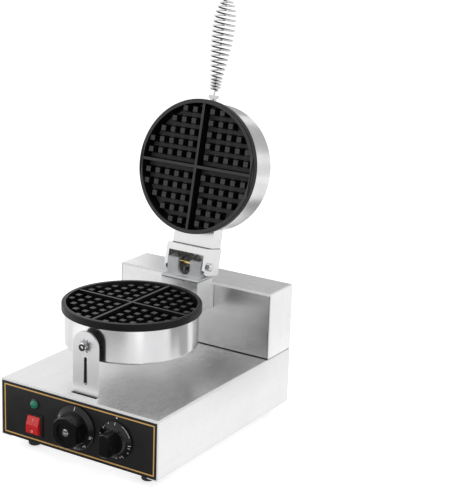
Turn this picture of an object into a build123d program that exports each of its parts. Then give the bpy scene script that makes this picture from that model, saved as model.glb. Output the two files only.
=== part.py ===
from build123d import *
import os
from math import asin, ceil, cos, degrees, hypot, pi, radians, sin, sqrt

# Belgian waffle maker for a counter: a stainless base with a front control panel,
# a slim hood at the back, a fixed lower baking drum and a hinged upper one.
# Millimetres, +X to the right seen from the front, +Y to the back, +Z up.
# Origin: middle of the whole appliance at the level of the counter, with the lid open.

# Fits between pieces
SEAM = 0.2
PIN_FIT = 0.05
SEAT_GAP = 0.05

# Base housing
BASE_WIDTH = 250.0
BASE_HEIGHT = 80.0
SHEET = 1.2
FOLD_RADIUS = 2.4
FRONT_LIP = 3.0
FLANGE = 14.0
PANEL_THICKNESS = 1.5
PANEL_INSET = 0.4
WIRE_WAY_WIDTH = 110.0
WIRE_WAY_DEPTH = 34.0
FLOOR_SLOT_LENGTH = 46.0
FLOOR_SLOT_PITCH = 16.0
FLOOR_SLOT_SPREAD = 80.0
FLOOR_SLOTS_FROM_FRONT = 165.0
VENT_WIDTH = 4.0
VENT_PITCH = 11.0
BASE_VENTS = 9
BASE_VENT_X = -30.0
BASE_VENT_LENGTH = 26.0
HOOD_VENTS = 13
HOOD_VENT_LENGTH = 34.0

# Feet
FOOT_HEIGHT = 16.0
FOOT_RADIUS = 10.0
FOOT_SIDE_INSET = 33.0
FOOT_END_INSET = 28.0
FOOT_TAPER = 1.6
FOOT_RECESS = 6.0
FOOT_SCREW_RADIUS = 2.5
FOOT_SCREW_HEAD = 4.6
FOOT_NUT = 8.0
FOOT_NUT_THICKNESS = 4.0

# Hood at the back
HOOD_DEPTH = 60.0
HOOD_HEIGHT = 94.0
HOOD_LIFT = 0.7
HOOD_WINDOW = 22.0

# Baking drums
PAN_RADIUS = 88.5
PAN_DEPTH = 46.4
PAN_WALL = 1.2
PAN_CORNER = 3.0
DRUM_CLEARANCE = 43.0

# Cast grid plates
RIM_OVERHANG = 4.0
RIM_THICKNESS = 9.5
WELL_INSET = 1.5
WELL_SLOPE = 3.0
WELL_DEPTH = 15.0
PLATE_FLOOR = 6.0
PLATE_SPIGOT_GAP = 0.6
PLATE_CORNER = 6.0
STUD_PITCH = 15.75
STUD_FIRST = 14.0
STUD_BASE = 10.4
STUD_TOP = 7.0
STUD_HEIGHT = 12.5
RIB_BASE = 6.4
RIB_TOP = 3.8
RIB_HEIGHT = 14.2

# Heating stack inside each drum
ELEMENT_RING_RADIUS = 54.0
ELEMENT_TUBE_RADIUS = 4.0
ELEMENT_SWEEP = 325.0
ELEMENT_TAIL = 9.0
PRESS_PLATE_RADIUS = 66.0
PRESS_PLATE_THICKNESS = 2.0
WOOL_INSET = 10.5
WOOL_GAP = 0.3
PLATE_BOSS_RADIUS = 9.0
PLATE_BOSS_DEPTH = 3.9
CENTRE_BOLT_RADIUS = 3.0
CENTRE_BOLT_HEAD = 10.0
CENTRE_BOLT_HEAD_HEIGHT = 4.0

# Hinge and neck
HINGE_ABOVE_PARTING = 20.3
OPEN_ANGLE = 102.3
NECK_SIDE_MARGIN = 3.0
NECK_HEIGHT = 44.1
NECK_BELOW_HINGE = 18.6
NECK_WALL = 2.0
NECK_FLANGE = 3.5
DUCT_LENGTH = 22.5
DUCT_HALF_WIDTH = 20.0
DUCT_HEIGHT = 26.0
DUCT_BELOW_RIM = 3.5
DUCT_WALL = 2.5
DUCT_HOLE_RADIUS = 6.0
LEAD_WAY_WIDTH = 42.0
LEAD_WAY_DEPTH = 12.0
CASTING_SCREW_MARGIN = 3.4
CASTING_SCREW_RADIUS = 2.0
CASTING_SCREW_HEAD = 6.0
CASTING_SCREWS_AHEAD = 17.5
CASTING_SCREWS_BEHIND = 7.6
GASKET_THICKNESS = 0.8
CASTING_BASE = 2.8
UPRIGHT_SETBACK = 10.5
UPRIGHT_THICKNESS = 4.0
PIN_BEHIND_UPRIGHT = 9.0
HOOD_BEHIND_PIN = 13.5
UPRIGHT_ABOVE_HINGE = 8.3
EAR_THICKNESS = 4.5
EAR_MARGIN = 1.5
EAR_BOSS_RADIUS = 9.0
EAR_REAR_REACH = 6.0
SADDLE_SLOT_RADIUS = 10.0
SADDLE_SLOT_BELOW_HINGE = 4.2
HINGE_PIN_RADIUS = 3.0
HINGE_PIN_THREAD = 4.2
BUSH_LENGTH = 4.0
BUSH_WALL = 3.0
HINGE_NUT_WALL = 2.0
HINGE_NUT_THICKNESS = 4.4

# Lid arm, measured in the closed lid: reach from the drum centre, height above the parting plane
ARM_SHEET = 2.0
ARM_BEHIND_DRUM = 21.3
ARM_PAST_PIN = 12.5
ARM_LOW = 9.5
ARM_HIGH = 47.0
ARM_NOSE_RADIUS = 7.0
FRAME_BAR = 9.0
FRAME_STRIP = 4.5
BLOCK_SIDE_INSET = 1.0
BLOCK_LOW = 21.5
BLOCK_HIGH = 45.5
BLOCK_WALL = 4.0
STOP_BAR_RADIUS = 3.0
STOP_BAR_REACH = 16.0
STOP_GAP = 0.1
LEAD_RADIUS = 1.3
LEAD_PLACES = (-17.0, -9.0, 3.0)
LEAD_HOLE_WIDTH = 44.0
LEAD_HOLE_HEIGHT = 9.0
LEAD_BEND = 3.0

# Handle
HANDLE_HEIGHT = 22.5
HANDLE_FROM_POST = 6.5
HANDLE_TURNS = 20.5
HANDLE_PITCH = 6.75
HANDLE_CLOSE_PITCH = 4.1
HANDLE_OPENS_AT = 4.3
HANDLE_CLOSES_AT = 19.2
HANDLE_WIRE_RADIUS = 1.2
HANDLE_FOOT_RADIUS = 6.3
HANDLE_BELLY_RADIUS = 14.85
HANDLE_BELLY_AT = 0.70
POST_HEX = 14.0
POST_NECK_LENGTH = 6.3
POST_HEX_LENGTH = 4.7
POST_NECK_RADIUS = 4.5
POST_COLLAR_RADIUS = 7.0
POST_SCREW_RADIUS = 2.5
POST_NUT = 8.0
POST_NUT_THICKNESS = 2.6

# Front stay
STAY_FROM_FRONT = 17.2
STAY_THICKNESS = 2.5
STAY_HALF_WIDTH = 20.0
STAY_ABOVE_BOLT = 19.5
STAY_SLOT_WIDTH = 6.5
STAY_SLOT_LOW = 13.0
STAY_SLOT_BELOW_BOLT = 12.0
STAY_BOLT_ABOVE_DRUM = 23.0
STAY_BOLT_RADIUS = 3.0
STAY_FOOT = 16.0
STAY_SLOT_AHEAD = 7.0
STAY_SPACER = 8.8
STAY_SPACER_RADIUS = 6.5
STAR_WASHER_RADIUS = 7.0
STAR_WASHER_TEETH = 10
STAR_WASHER_REACH = 9.2
STAY_BOLT_HEAD = 11.0
STAY_BOLT_HEAD_HEIGHT = 4.4
STAY_NUT = 10.0
STAY_NUT_THICKNESS = 4.8

# Controls on the front panel, heights measured from the bottom edge of the base
CONTROL_LEFT = -69.0
LAMP_HEIGHT = 55.5
LAMP_RADIUS = 5.7
LAMP_RING_RADIUS = 7.3
LAMP_PROUD = 5.8
LAMP_DOME = 3.4
SWITCH_HEIGHT = 26.4
SWITCH_WIDTH = 27.0
SWITCH_TALL = 31.0
SWITCH_RIM = 2.0
SWITCH_BODY_DEPTH = 24.0
ROCKER_WIDTH = 19.6
ROCKER_HALF = 11.5
ROCKER_TRAVEL = 22.0
ROCKER_PROUD = 8.0
ROCKER_GAP = 0.35
THERMOSTAT_X = -1.0
THERMOSTAT_HEIGHT = 40.6
THERMOSTAT_SKIRT = 30.0
THERMOSTAT_GRIP = 21.0
THERMOSTAT_PROUD = 25.0
THERMOSTAT_FLAT = 18.0
TIMER_X = 62.0
TIMER_HEIGHT = 40.0
TIMER_SKIRT = 25.0
TIMER_GRIP = 15.5
TIMER_BAR = 13.0
TIMER_PROUD = 27.0
SHAFT_RADIUS = 3.0
KNOB_GAP = 1.0
THERMOSTAT_BODY = 34.0
THERMOSTAT_BODY_DEPTH = 30.0
TIMER_BODY = 38.0
TIMER_BODY_DEPTH = 34.0
CAP_RADIUS = 4.8
CAP_RECESS = 2.6

# Cord entry at the back
GLAND_X = 80.0
GLAND_HEIGHT = 34.0
GLAND_HEX = 22.0
GLAND_REACH = 13.0
GLAND_HEX_THICKNESS = 5.0
GLAND_THREAD_RADIUS = 8.8
GLAND_CROWN_RADIUS = 9.6
CORD_RADIUS = 4.0
TERMINAL_LENGTH = 32.0
TERMINAL_DEPTH = 22.0
TERMINAL_HEIGHT = 17.0
TERMINAL_POLES = 3
TERMINAL_PITCH = 10.0
TERMINAL_FROM_BACK = 62.0

# Plates and heating stack, fitted to the drum
RIM_RADIUS = PAN_RADIUS + RIM_OVERHANG
WELL_RADIUS = PAN_RADIUS - WELL_INSET
WELL_FLOOR_RADIUS = WELL_RADIUS - WELL_SLOPE
WOOL_RADIUS = PAN_RADIUS - WOOL_INSET

# Depths from the front of the base: stay, drum, neck, hinge and hood follow one another
DRUM_FROM_FRONT = STAY_FROM_FRONT + STAY_THICKNESS + STAY_SPACER + PAN_RADIUS
NECK_FROM_FRONT = DRUM_FROM_FRONT + PAN_RADIUS + DUCT_LENGTH
UPRIGHT_FROM_FRONT = NECK_FROM_FRONT + UPRIGHT_SETBACK
HINGE_FROM_FRONT = UPRIGHT_FROM_FRONT + UPRIGHT_THICKNESS + PIN_BEHIND_UPRIGHT
BASE_DEPTH = HINGE_FROM_FRONT + HOOD_BEHIND_PIN + HOOD_DEPTH

# Widths of the hinge, set by the opening for the leads
UPRIGHT_HALF_WIDTH = LEAD_WAY_WIDTH / 2 + EAR_MARGIN + EAR_THICKNESS
CASTING_SCREW_X = LEAD_WAY_WIDTH / 2 + CASTING_SCREW_MARGIN
NECK_HALF_WIDTH = UPRIGHT_HALF_WIDTH + NECK_SIDE_MARGIN
CHEEK_OUTSIDE = UPRIGHT_HALF_WIDTH + BUSH_LENGTH + ARM_SHEET
BLOCK_HALF_WIDTH = CHEEK_OUTSIDE - BLOCK_SIDE_INSET

# Reaches on the lid, measured from the drum centre
ARM_START = PAN_RADIUS + ARM_BEHIND_DRUM
ARM_END = HINGE_FROM_FRONT - DRUM_FROM_FRONT + ARM_PAST_PIN
POST_HEX_START = PAN_RADIUS + POST_NECK_LENGTH
POST_HEX_END = POST_HEX_START + POST_HEX_LENGTH
HANDLE_START = POST_HEX_END + HANDLE_FROM_POST

# Levels
BASE_LOW = FOOT_HEIGHT
BASE_TOP = FOOT_HEIGHT + BASE_HEIGHT
DRUM_LOW = BASE_TOP + DRUM_CLEARANCE
STAY_BOLT_Z = DRUM_LOW + STAY_BOLT_ABOVE_DRUM
RIM_LOW = DRUM_LOW + PAN_DEPTH
PARTING = RIM_LOW + RIM_THICKNESS
HINGE_Z = PARTING + HINGE_ABOVE_PARTING
HOOD_LOW = BASE_TOP + HOOD_LIFT
HOOD_TOP = BASE_TOP + HOOD_HEIGHT
NECK_TOP = HINGE_Z - NECK_BELOW_HINGE
NECK_LOW = NECK_TOP - NECK_HEIGHT
CASTING_LOW = NECK_TOP + GASKET_THICKNESS
CASTING_FLOOR = CASTING_LOW + CASTING_BASE
DUCT_Z = RIM_LOW - DUCT_BELOW_RIM - DUCT_HEIGHT / 2

# Handle and the depth of the open lid, which centres the appliance
HANDLE_LEAN = OPEN_ANGLE - 90.0
HANDLE_OPEN_TURNS = HANDLE_CLOSES_AT - HANDLE_OPENS_AT
HANDLE_LENGTH = HANDLE_CLOSE_PITCH * HANDLE_TURNS + (HANDLE_PITCH - HANDLE_CLOSE_PITCH) * HANDLE_OPEN_TURNS
LID_REACH = (
    HINGE_FROM_FRONT
    + (HINGE_FROM_FRONT - DRUM_FROM_FRONT + HANDLE_START + 0.85 * HANDLE_LENGTH) * sin(radians(HANDLE_LEAN))
    + (HANDLE_HEIGHT - HINGE_ABOVE_PARTING + HANDLE_BELLY_RADIUS) * cos(radians(HANDLE_LEAN))
)
FRONT = (TIMER_PROUD - LID_REACH) / 2
BACK = FRONT + BASE_DEPTH
DRUM_Y = FRONT + DRUM_FROM_FRONT
HINGE_Y = FRONT + HINGE_FROM_FRONT
HOOD_FRONT = BACK - HOOD_DEPTH
NECK_FRONT = FRONT + NECK_FROM_FRONT
UPRIGHT_FRONT = FRONT + UPRIGHT_FROM_FRONT
INSIDE = BASE_WIDTH / 2 - SHEET
PANEL_FACE = FRONT + PANEL_INSET
PANEL_BACK = PANEL_FACE + PANEL_THICKNESS

PARTS = {}


def keep(name, shape):
    """Files a finished piece under its name."""
    PARTS[name] = shape


def block(x_low, x_high, y_low, y_high, z_low, z_high):
    """A square-edged block between two corners."""
    middle = ((x_low + x_high) / 2, (y_low + y_high) / 2, (z_low + z_high) / 2)
    return Pos(*middle) * Box(x_high - x_low, y_high - y_low, z_high - z_low)


def along_x(sketch, start, end):
    """Extrudes a profile drawn in Y and Z from one X to another."""
    plane = Plane(origin=(start, 0, 0), x_dir=(0, 1, 0), z_dir=(1, 0, 0))
    return extrude(plane * sketch, amount=end - start)


def along_y(sketch, front, back):
    """Extrudes a profile drawn in X and Z from front to back."""
    plane = Plane(origin=(0, back, 0), x_dir=(1, 0, 0), z_dir=(0, -1, 0))
    return extrude(plane * sketch, amount=back - front)


def along_z(sketch, low, high):
    """Extrudes a profile drawn in X and Y upwards."""
    return extrude(Pos(0, 0, low) * sketch, amount=high - low)


def rod_x(radius, start, end, y, z):
    """A round bar along X."""
    return along_x(Pos(y, z) * Circle(radius), start, end)


def rod_y(radius, front, back, x, z):
    """A round bar along Y."""
    return along_y(Pos(x, z) * Circle(radius), front, back)


def rod_z(radius, low, high, x, y):
    """A round bar along Z."""
    return along_z(Pos(x, y) * Circle(radius), low, high)


def hexagon(across_flats):
    """A hexagon sketched by the width over its flats."""
    return RegularPolygon(across_flats / 2, 6, major_radius=False)


def turned_y(points, x, z, face):
    """Turns a profile of (radius, distance in front of a face) about an axis along Y."""
    plane = Plane(origin=(x, face, z), x_dir=(1, 0, 0), z_dir=(0, 0, 1))
    outline = make_face(Polyline([(radius, -proud) for radius, proud in points], close=True))
    return revolve(plane * outline, axis=Axis((x, face, z), (0, 1, 0)))


def turned_z(points, x, y):
    """Turns a profile of (radius, height) about an upright axis."""
    plane = Plane(origin=(x, y, 0), x_dir=(1, 0, 0), z_dir=(0, -1, 0))
    outline = make_face(Polyline(list(points), close=True))
    return revolve(plane * outline, axis=Axis((x, y, 0), (0, 0, 1)))


def folded_u(width, low, high):
    """Section of a folded cover: a top and two sides with bent corners."""
    outer = Pos(0, (low + high) / 2) * Rectangle(width, high - low)
    outer = fillet(outer.vertices().group_by(Axis.Y)[-1], FOLD_RADIUS)
    inner = Pos(0, (low + high - SHEET) / 2) * Rectangle(width - 2 * SHEET, high - SHEET - low)
    inner = fillet(inner.vertices().group_by(Axis.Y)[-1], FOLD_RADIUS - SHEET)
    return outer - inner


def end_panel(low, high):
    """Outline of a plate that closes the end of a folded cover, rounded to its bends."""
    panel = Pos(0, (low + high) / 2) * Rectangle(2 * (INSIDE - SEAM), high - low)
    return fillet(panel.vertices().group_by(Axis.Y)[-1], FOLD_RADIUS - SHEET)


def open_lid(shape):
    """Swings a lid piece modelled closed up to its open rest."""
    return shape.rotate(Axis((0, HINGE_Y, HINGE_Z), (1, 0, 0)), -OPEN_ANGLE)


def lid_y(reach):
    """Y of a place on the closed lid, by its reach behind the drum centre."""
    return DRUM_Y + reach


def lid_z(height):
    """Z of a place on the closed lid, by its height above the parting plane."""
    return PARTING + height


def flip(shape):
    """Mirrors a lower drum piece about the parting plane to its place in the closed lid."""
    return mirror(shape, about=Plane.XY.offset(PARTING))


def base_housing():
    """Folded cover, floor and back of the base."""
    section = folded_u(BASE_WIDTH, BASE_LOW, BASE_TOP)
    for side in (-1, 1):
        middle = side * (INSIDE - FLANGE / 2)
        section += Pos(middle, BASE_LOW + SHEET / 2) * Rectangle(FLANGE, SHEET)
    cover = along_y(section, FRONT, BACK)
    lip_low = BASE_TOP - FRONT_LIP
    cover += block(-INSIDE, INSIDE, FRONT, FRONT + SHEET, lip_low, BASE_TOP - SHEET)
    slot_half = STAY_HALF_WIDTH + SEAM
    slot_front = FRONT + STAY_FROM_FRONT - STAY_SLOT_AHEAD
    slot_back = FRONT + STAY_FROM_FRONT + STAY_THICKNESS + SEAM
    cover -= block(-slot_half, slot_half, slot_front, slot_back, BASE_TOP - 2 * SHEET, BASE_TOP + SHEET)
    wire_way = Pos(0, (HOOD_FRONT + BACK) / 2) * RectangleRounded(WIRE_WAY_WIDTH, WIRE_WAY_DEPTH, 6.0)
    cover -= along_z(wire_way, BASE_TOP - 2 * SHEET, BASE_TOP + SHEET)
    keep("base_cover", cover)

    floor_low = BASE_LOW + SHEET
    floor_front = PANEL_BACK + SEAM
    floor_back = BACK - 2 * SHEET
    floor = block(-INSIDE + SEAM, INSIDE - SEAM, floor_front, floor_back, floor_low, floor_low + SHEET)
    slot_rows = GridLocations(FLOOR_SLOT_SPREAD, FLOOR_SLOT_PITCH, 2, 5)
    slot_middle = Pos(0, FRONT + FLOOR_SLOTS_FROM_FRONT)
    slots = Sketch() + [place * SlotOverall(FLOOR_SLOT_LENGTH, 5.0) for place in slot_middle * slot_rows]
    floor -= along_z(slots, floor_low - SHEET, floor_low + 2 * SHEET)
    for x, y in foot_places():
        floor -= rod_z(FOOT_SCREW_RADIUS + PIN_FIT, floor_low - SHEET, floor_low + 2 * SHEET, x, y)
    keep("base_floor", floor)

    back = along_y(end_panel(floor_low, BASE_TOP - SHEET - SEAM), BACK - 2 * SHEET, BACK - SHEET)
    back -= rod_y(GLAND_THREAD_RADIUS + SEAM, BACK - 3 * SHEET, BACK, GLAND_X, BASE_LOW + GLAND_HEIGHT)
    back -= vent_row(BASE_VENTS, BASE_VENT_LENGTH, BASE_VENT_X, BASE_LOW + BASE_HEIGHT / 2)
    keep("base_back", back)


def vent_row(count, length, x, z):
    """Cutter for a row of upright vent slots through a back panel."""
    slot = SlotOverall(length, VENT_WIDTH, rotation=90)
    vents = Sketch() + [place * slot for place in Pos(x, z) * GridLocations(VENT_PITCH, 1.0, count, 1)]
    return along_y(vents, BACK - 3 * SHEET, BACK)


def foot_places():
    """Centres of the four feet."""
    x = BASE_WIDTH / 2 - FOOT_SIDE_INSET
    return [(side * x, y) for side in (-1, 1) for y in (FRONT + FOOT_END_INSET, BACK - FOOT_END_INSET)]


def feet():
    """Rubber feet and the screws that hold them to the floor."""
    seat = BASE_LOW + SHEET
    profile = [
        (FOOT_SCREW_RADIUS + PIN_FIT, seat),
        (FOOT_RADIUS, seat),
        (FOOT_RADIUS, seat - 4.0),
        (FOOT_RADIUS - FOOT_TAPER, 1.0),
        (FOOT_RADIUS - FOOT_TAPER - 1.0, 0.0),
        (FOOT_RECESS, 0.0),
        (FOOT_RECESS, FOOT_RECESS),
        (FOOT_SCREW_RADIUS + PIN_FIT, FOOT_RECESS),
    ]
    rubber = [turned_z(profile, x, y) for x, y in foot_places()]
    keep("rubber_feet", Compound(children=rubber))
    head_top = FOOT_RECESS - 2 * SEAT_GAP
    nut_top = seat + SHEET + FOOT_NUT_THICKNESS
    screws = []
    nuts = []
    for x, y in foot_places():
        head = rod_z(FOOT_SCREW_HEAD, head_top - 3.0, head_top, x, y)
        head -= block(x - 5.0, x + 5.0, y - 0.6, y + 0.6, head_top - 4.0, head_top - 1.8)
        screws.append(head + rod_z(FOOT_SCREW_RADIUS, head_top, nut_top + 1.0, x, y))
        nut = along_z(Pos(x, y) * hexagon(FOOT_NUT), seat + SHEET, nut_top)
        nuts.append(nut - rod_z(FOOT_SCREW_RADIUS + PIN_FIT, seat, nut_top + 2.0, x, y))
    keep("foot_screws", Compound(children=screws))
    keep("foot_nuts", Compound(children=nuts))


def control_panel():
    """Black front panel with the cut-outs for lamp, switch and shafts."""
    low = BASE_LOW + SHEET
    high = BASE_TOP - FRONT_LIP - SEAM
    panel = block(-INSIDE + SEAM, INSIDE - SEAM, PANEL_FACE, PANEL_BACK, low, high)
    through = (PANEL_FACE - 1.0, PANEL_BACK + 1.0)
    panel -= rod_y(LAMP_RADIUS - 0.6, *through, CONTROL_LEFT, BASE_LOW + LAMP_HEIGHT)
    cut_out = Pos(CONTROL_LEFT, BASE_LOW + SWITCH_HEIGHT) * Rectangle(SWITCH_WIDTH - 4.8, SWITCH_TALL - 2.4)
    panel -= along_y(cut_out, *through)
    panel -= rod_y(4.5, *through, THERMOSTAT_X, BASE_LOW + THERMOSTAT_HEIGHT)
    panel -= rod_y(4.5, *through, TIMER_X, BASE_LOW + TIMER_HEIGHT)
    keep("control_panel", panel)


def pilot_lamp():
    """Green lamp: a ring and barrel through the panel, with a domed lens."""
    x = CONTROL_LEFT
    z = BASE_LOW + LAMP_HEIGHT
    barrel = turned_y(
        [
            (0.0, 0.6),
            (LAMP_RING_RADIUS - 1.0, 0.6),
            (LAMP_RING_RADIUS - 1.0, 1.8),
            (LAMP_RING_RADIUS, 1.0),
            (LAMP_RING_RADIUS, 0.0),
            (LAMP_RADIUS - 0.7, 0.0),
            (LAMP_RADIUS - 0.7, -22.0),
            (0.0, -22.0),
        ],
        x,
        z,
        PANEL_FACE,
    )
    keep("lamp_body", barrel)
    tip = PANEL_FACE - LAMP_PROUD
    dome_radius = (LAMP_RADIUS**2 + LAMP_DOME**2) / (2 * LAMP_DOME)
    lens = rod_y(LAMP_RADIUS, tip - 1.0, PANEL_FACE - 0.7, x, z)
    lens &= Pos(x, tip + dome_radius, z) * Sphere(dome_radius)
    keep("lamp_lens", lens)


def rocker_switch():
    """Power switch: a rimmed body snapped into the panel and a red rocker."""
    x = CONTROL_LEFT
    z = BASE_LOW + SWITCH_HEIGHT
    pivot_y = PANEL_FACE + 1.0
    crest = pivot_y - ROCKER_PROUD
    slope = radians(ROCKER_TRAVEL / 2)
    end_y = crest + ROCKER_HALF * sin(slope) / cos(slope)
    reach = hypot(ROCKER_HALF, pivot_y - end_y)
    back_y = pivot_y + 4.0
    back_half = sqrt(reach**2 - 16.0)
    upper_face = Line((crest, 0), (end_y, ROCKER_HALF))
    upper_end = ThreePointArc((end_y, ROCKER_HALF), (pivot_y, reach), (back_y, back_half))
    rear = Line((back_y, back_half), (back_y, -back_half))
    lower_end = ThreePointArc((back_y, -back_half), (pivot_y, -reach), (end_y, -ROCKER_HALF))
    lower_face = Line((end_y, -ROCKER_HALF), (crest, 0))
    face = make_face(upper_face + upper_end + rear + lower_end + lower_face)
    rocker = along_x(Pos(0, z) * face, x - ROCKER_WIDTH / 2, x + ROCKER_WIDTH / 2)
    rocker = rocker.rotate(Axis((x, pivot_y, z), (1, 0, 0)), -ROCKER_TRAVEL / 2)
    keep("power_rocker", rocker)

    well_width = ROCKER_WIDTH + 2 * ROCKER_GAP
    well_tall = 2 * (reach + ROCKER_GAP)
    body_width = SWITCH_WIDTH - 5.0
    body_tall = SWITCH_TALL - 2.6
    rim = Pos(x, z) * RectangleRounded(SWITCH_WIDTH, SWITCH_TALL, 1.5)
    body = along_y(rim, PANEL_FACE - SWITCH_RIM, PANEL_FACE)
    body += along_y(Pos(x, z) * Rectangle(body_width, body_tall), PANEL_FACE, PANEL_FACE + SWITCH_BODY_DEPTH)
    well = Pos(x, z) * Rectangle(well_width, well_tall)
    swing_depth = (back_y - pivot_y) * cos(slope) + back_half * sin(slope)
    body -= along_y(well, PANEL_FACE - SWITCH_RIM - 1.0, pivot_y + swing_depth + ROCKER_GAP)
    for column in (-1, 1):
        for row in (-1, 1):
            tab_x = x + column * 6.0
            tab_z = z + row * 7.0
            rear = PANEL_FACE + SWITCH_BODY_DEPTH
            body += block(tab_x - 0.4, tab_x + 0.4, rear, rear + 8.0, tab_z - 3.1, tab_z + 3.1)
    keep("switch_body", body)


def shaft_and_body(name, x, height, reach, width, depth):
    """A control behind the panel: its body with a threaded neck, and the turning shaft."""
    z = BASE_LOW + height
    body = block(x - width / 2, x + width / 2, PANEL_BACK, PANEL_BACK + depth, z - width / 2, z + width / 2)
    body += rod_y(4.4, PANEL_FACE + 0.2, PANEL_BACK, x, z)
    body -= rod_y(SHAFT_RADIUS + PIN_FIT, PANEL_FACE - 2.0, PANEL_BACK + 8.0, x, z)
    rear = PANEL_BACK + depth
    for tab_x in (x - 8.0, x + 8.0):
        body += block(tab_x - 3.0, tab_x + 3.0, rear, rear + 9.0, z - 0.4, z + 0.4)
    keep(name + "_body", body)
    shaft = rod_y(SHAFT_RADIUS, PANEL_FACE - reach, PANEL_BACK + 7.5, x, z)
    keep(name + "_shaft", shaft)


def thermostat():
    """Temperature control with its numbered dial knob and the recessed cap in the middle."""
    x = THERMOSTAT_X
    z = BASE_LOW + THERMOSTAT_HEIGHT
    bore_end = THERMOSTAT_PROUD - 7.0
    shaft_and_body("thermostat", x, THERMOSTAT_HEIGHT, bore_end - 0.5, THERMOSTAT_BODY, THERMOSTAT_BODY_DEPTH)
    knob = turned_y(
        [
            (SHAFT_RADIUS + PIN_FIT, KNOB_GAP),
            (THERMOSTAT_SKIRT, KNOB_GAP),
            (THERMOSTAT_SKIRT, KNOB_GAP + 1.6),
            (THERMOSTAT_SKIRT - 6.5, KNOB_GAP + 5.0),
            (THERMOSTAT_GRIP + 1.5, KNOB_GAP + 5.2),
            (THERMOSTAT_GRIP, THERMOSTAT_PROUD - 1.5),
            (THERMOSTAT_GRIP - 1.5, THERMOSTAT_PROUD),
            (13.2, THERMOSTAT_PROUD),
            (12.8, THERMOSTAT_PROUD - CAP_RECESS),
            (0.0, THERMOSTAT_PROUD - CAP_RECESS),
            (0.0, bore_end),
            (SHAFT_RADIUS + PIN_FIT, bore_end),
        ],
        x,
        z,
        PANEL_FACE,
    )
    for side in (-1, 1):
        outer = x + side * (THERMOSTAT_GRIP + 5.0)
        inner = x + side * THERMOSTAT_FLAT
        flat = Pos((outer + inner) / 2, z) * Rectangle(abs(outer - inner), 2 * THERMOSTAT_GRIP + 6.0)
        knob -= along_y(flat, PANEL_FACE - THERMOSTAT_PROUD - 1.0, PANEL_FACE - 9.0)
    keep("thermostat_knob", knob)
    cap_face = PANEL_FACE - THERMOSTAT_PROUD + CAP_RECESS
    profile = [(0.0, 0.0), (CAP_RADIUS, 0.0), (CAP_RADIUS, 0.9), (CAP_RADIUS - 0.5, 1.4), (0.0, 1.4)]
    cap = turned_y(profile, x, z, cap_face)
    cap -= block(x - 3.4, x + 3.4, cap_face - 2.0, cap_face - 0.7, z - 0.6, z + 0.6)
    keep("thermostat_cap", cap)


def timer():
    """Five minute clockwork timer with its bar-shaped knob."""
    x = TIMER_X
    z = BASE_LOW + TIMER_HEIGHT
    bore_end = TIMER_PROUD - 7.0
    shaft_and_body("timer", x, TIMER_HEIGHT, bore_end - 0.5, TIMER_BODY, TIMER_BODY_DEPTH)
    knob = turned_y(
        [
            (0.0, KNOB_GAP),
            (TIMER_SKIRT, KNOB_GAP),
            (TIMER_SKIRT, KNOB_GAP + 1.4),
            (TIMER_GRIP + 2.5, KNOB_GAP + 4.6),
            (TIMER_GRIP + 0.6, KNOB_GAP + 8.0),
            (0.0, KNOB_GAP + 8.0),
        ],
        x,
        z,
        PANEL_FACE,
    )
    grip = turned_y(
        [
            (0.0, KNOB_GAP + 4.0),
            (TIMER_GRIP + 0.4, KNOB_GAP + 4.0),
            (TIMER_GRIP, TIMER_PROUD - 1.2),
            (TIMER_GRIP - 1.2, TIMER_PROUD),
            (0.0, TIMER_PROUD),
        ],
        x,
        z,
        PANEL_FACE,
    )
    half_bar = TIMER_BAR / 2
    waist = block(x - half_bar, x + half_bar, PANEL_FACE - TIMER_PROUD - 1.0, PANEL_FACE, z - 30.0, z + 30.0)
    knob += grip & waist
    knob -= rod_y(SHAFT_RADIUS + PIN_FIT, PANEL_FACE - bore_end, PANEL_FACE, x, z)
    keep("timer_knob", knob)


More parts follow.
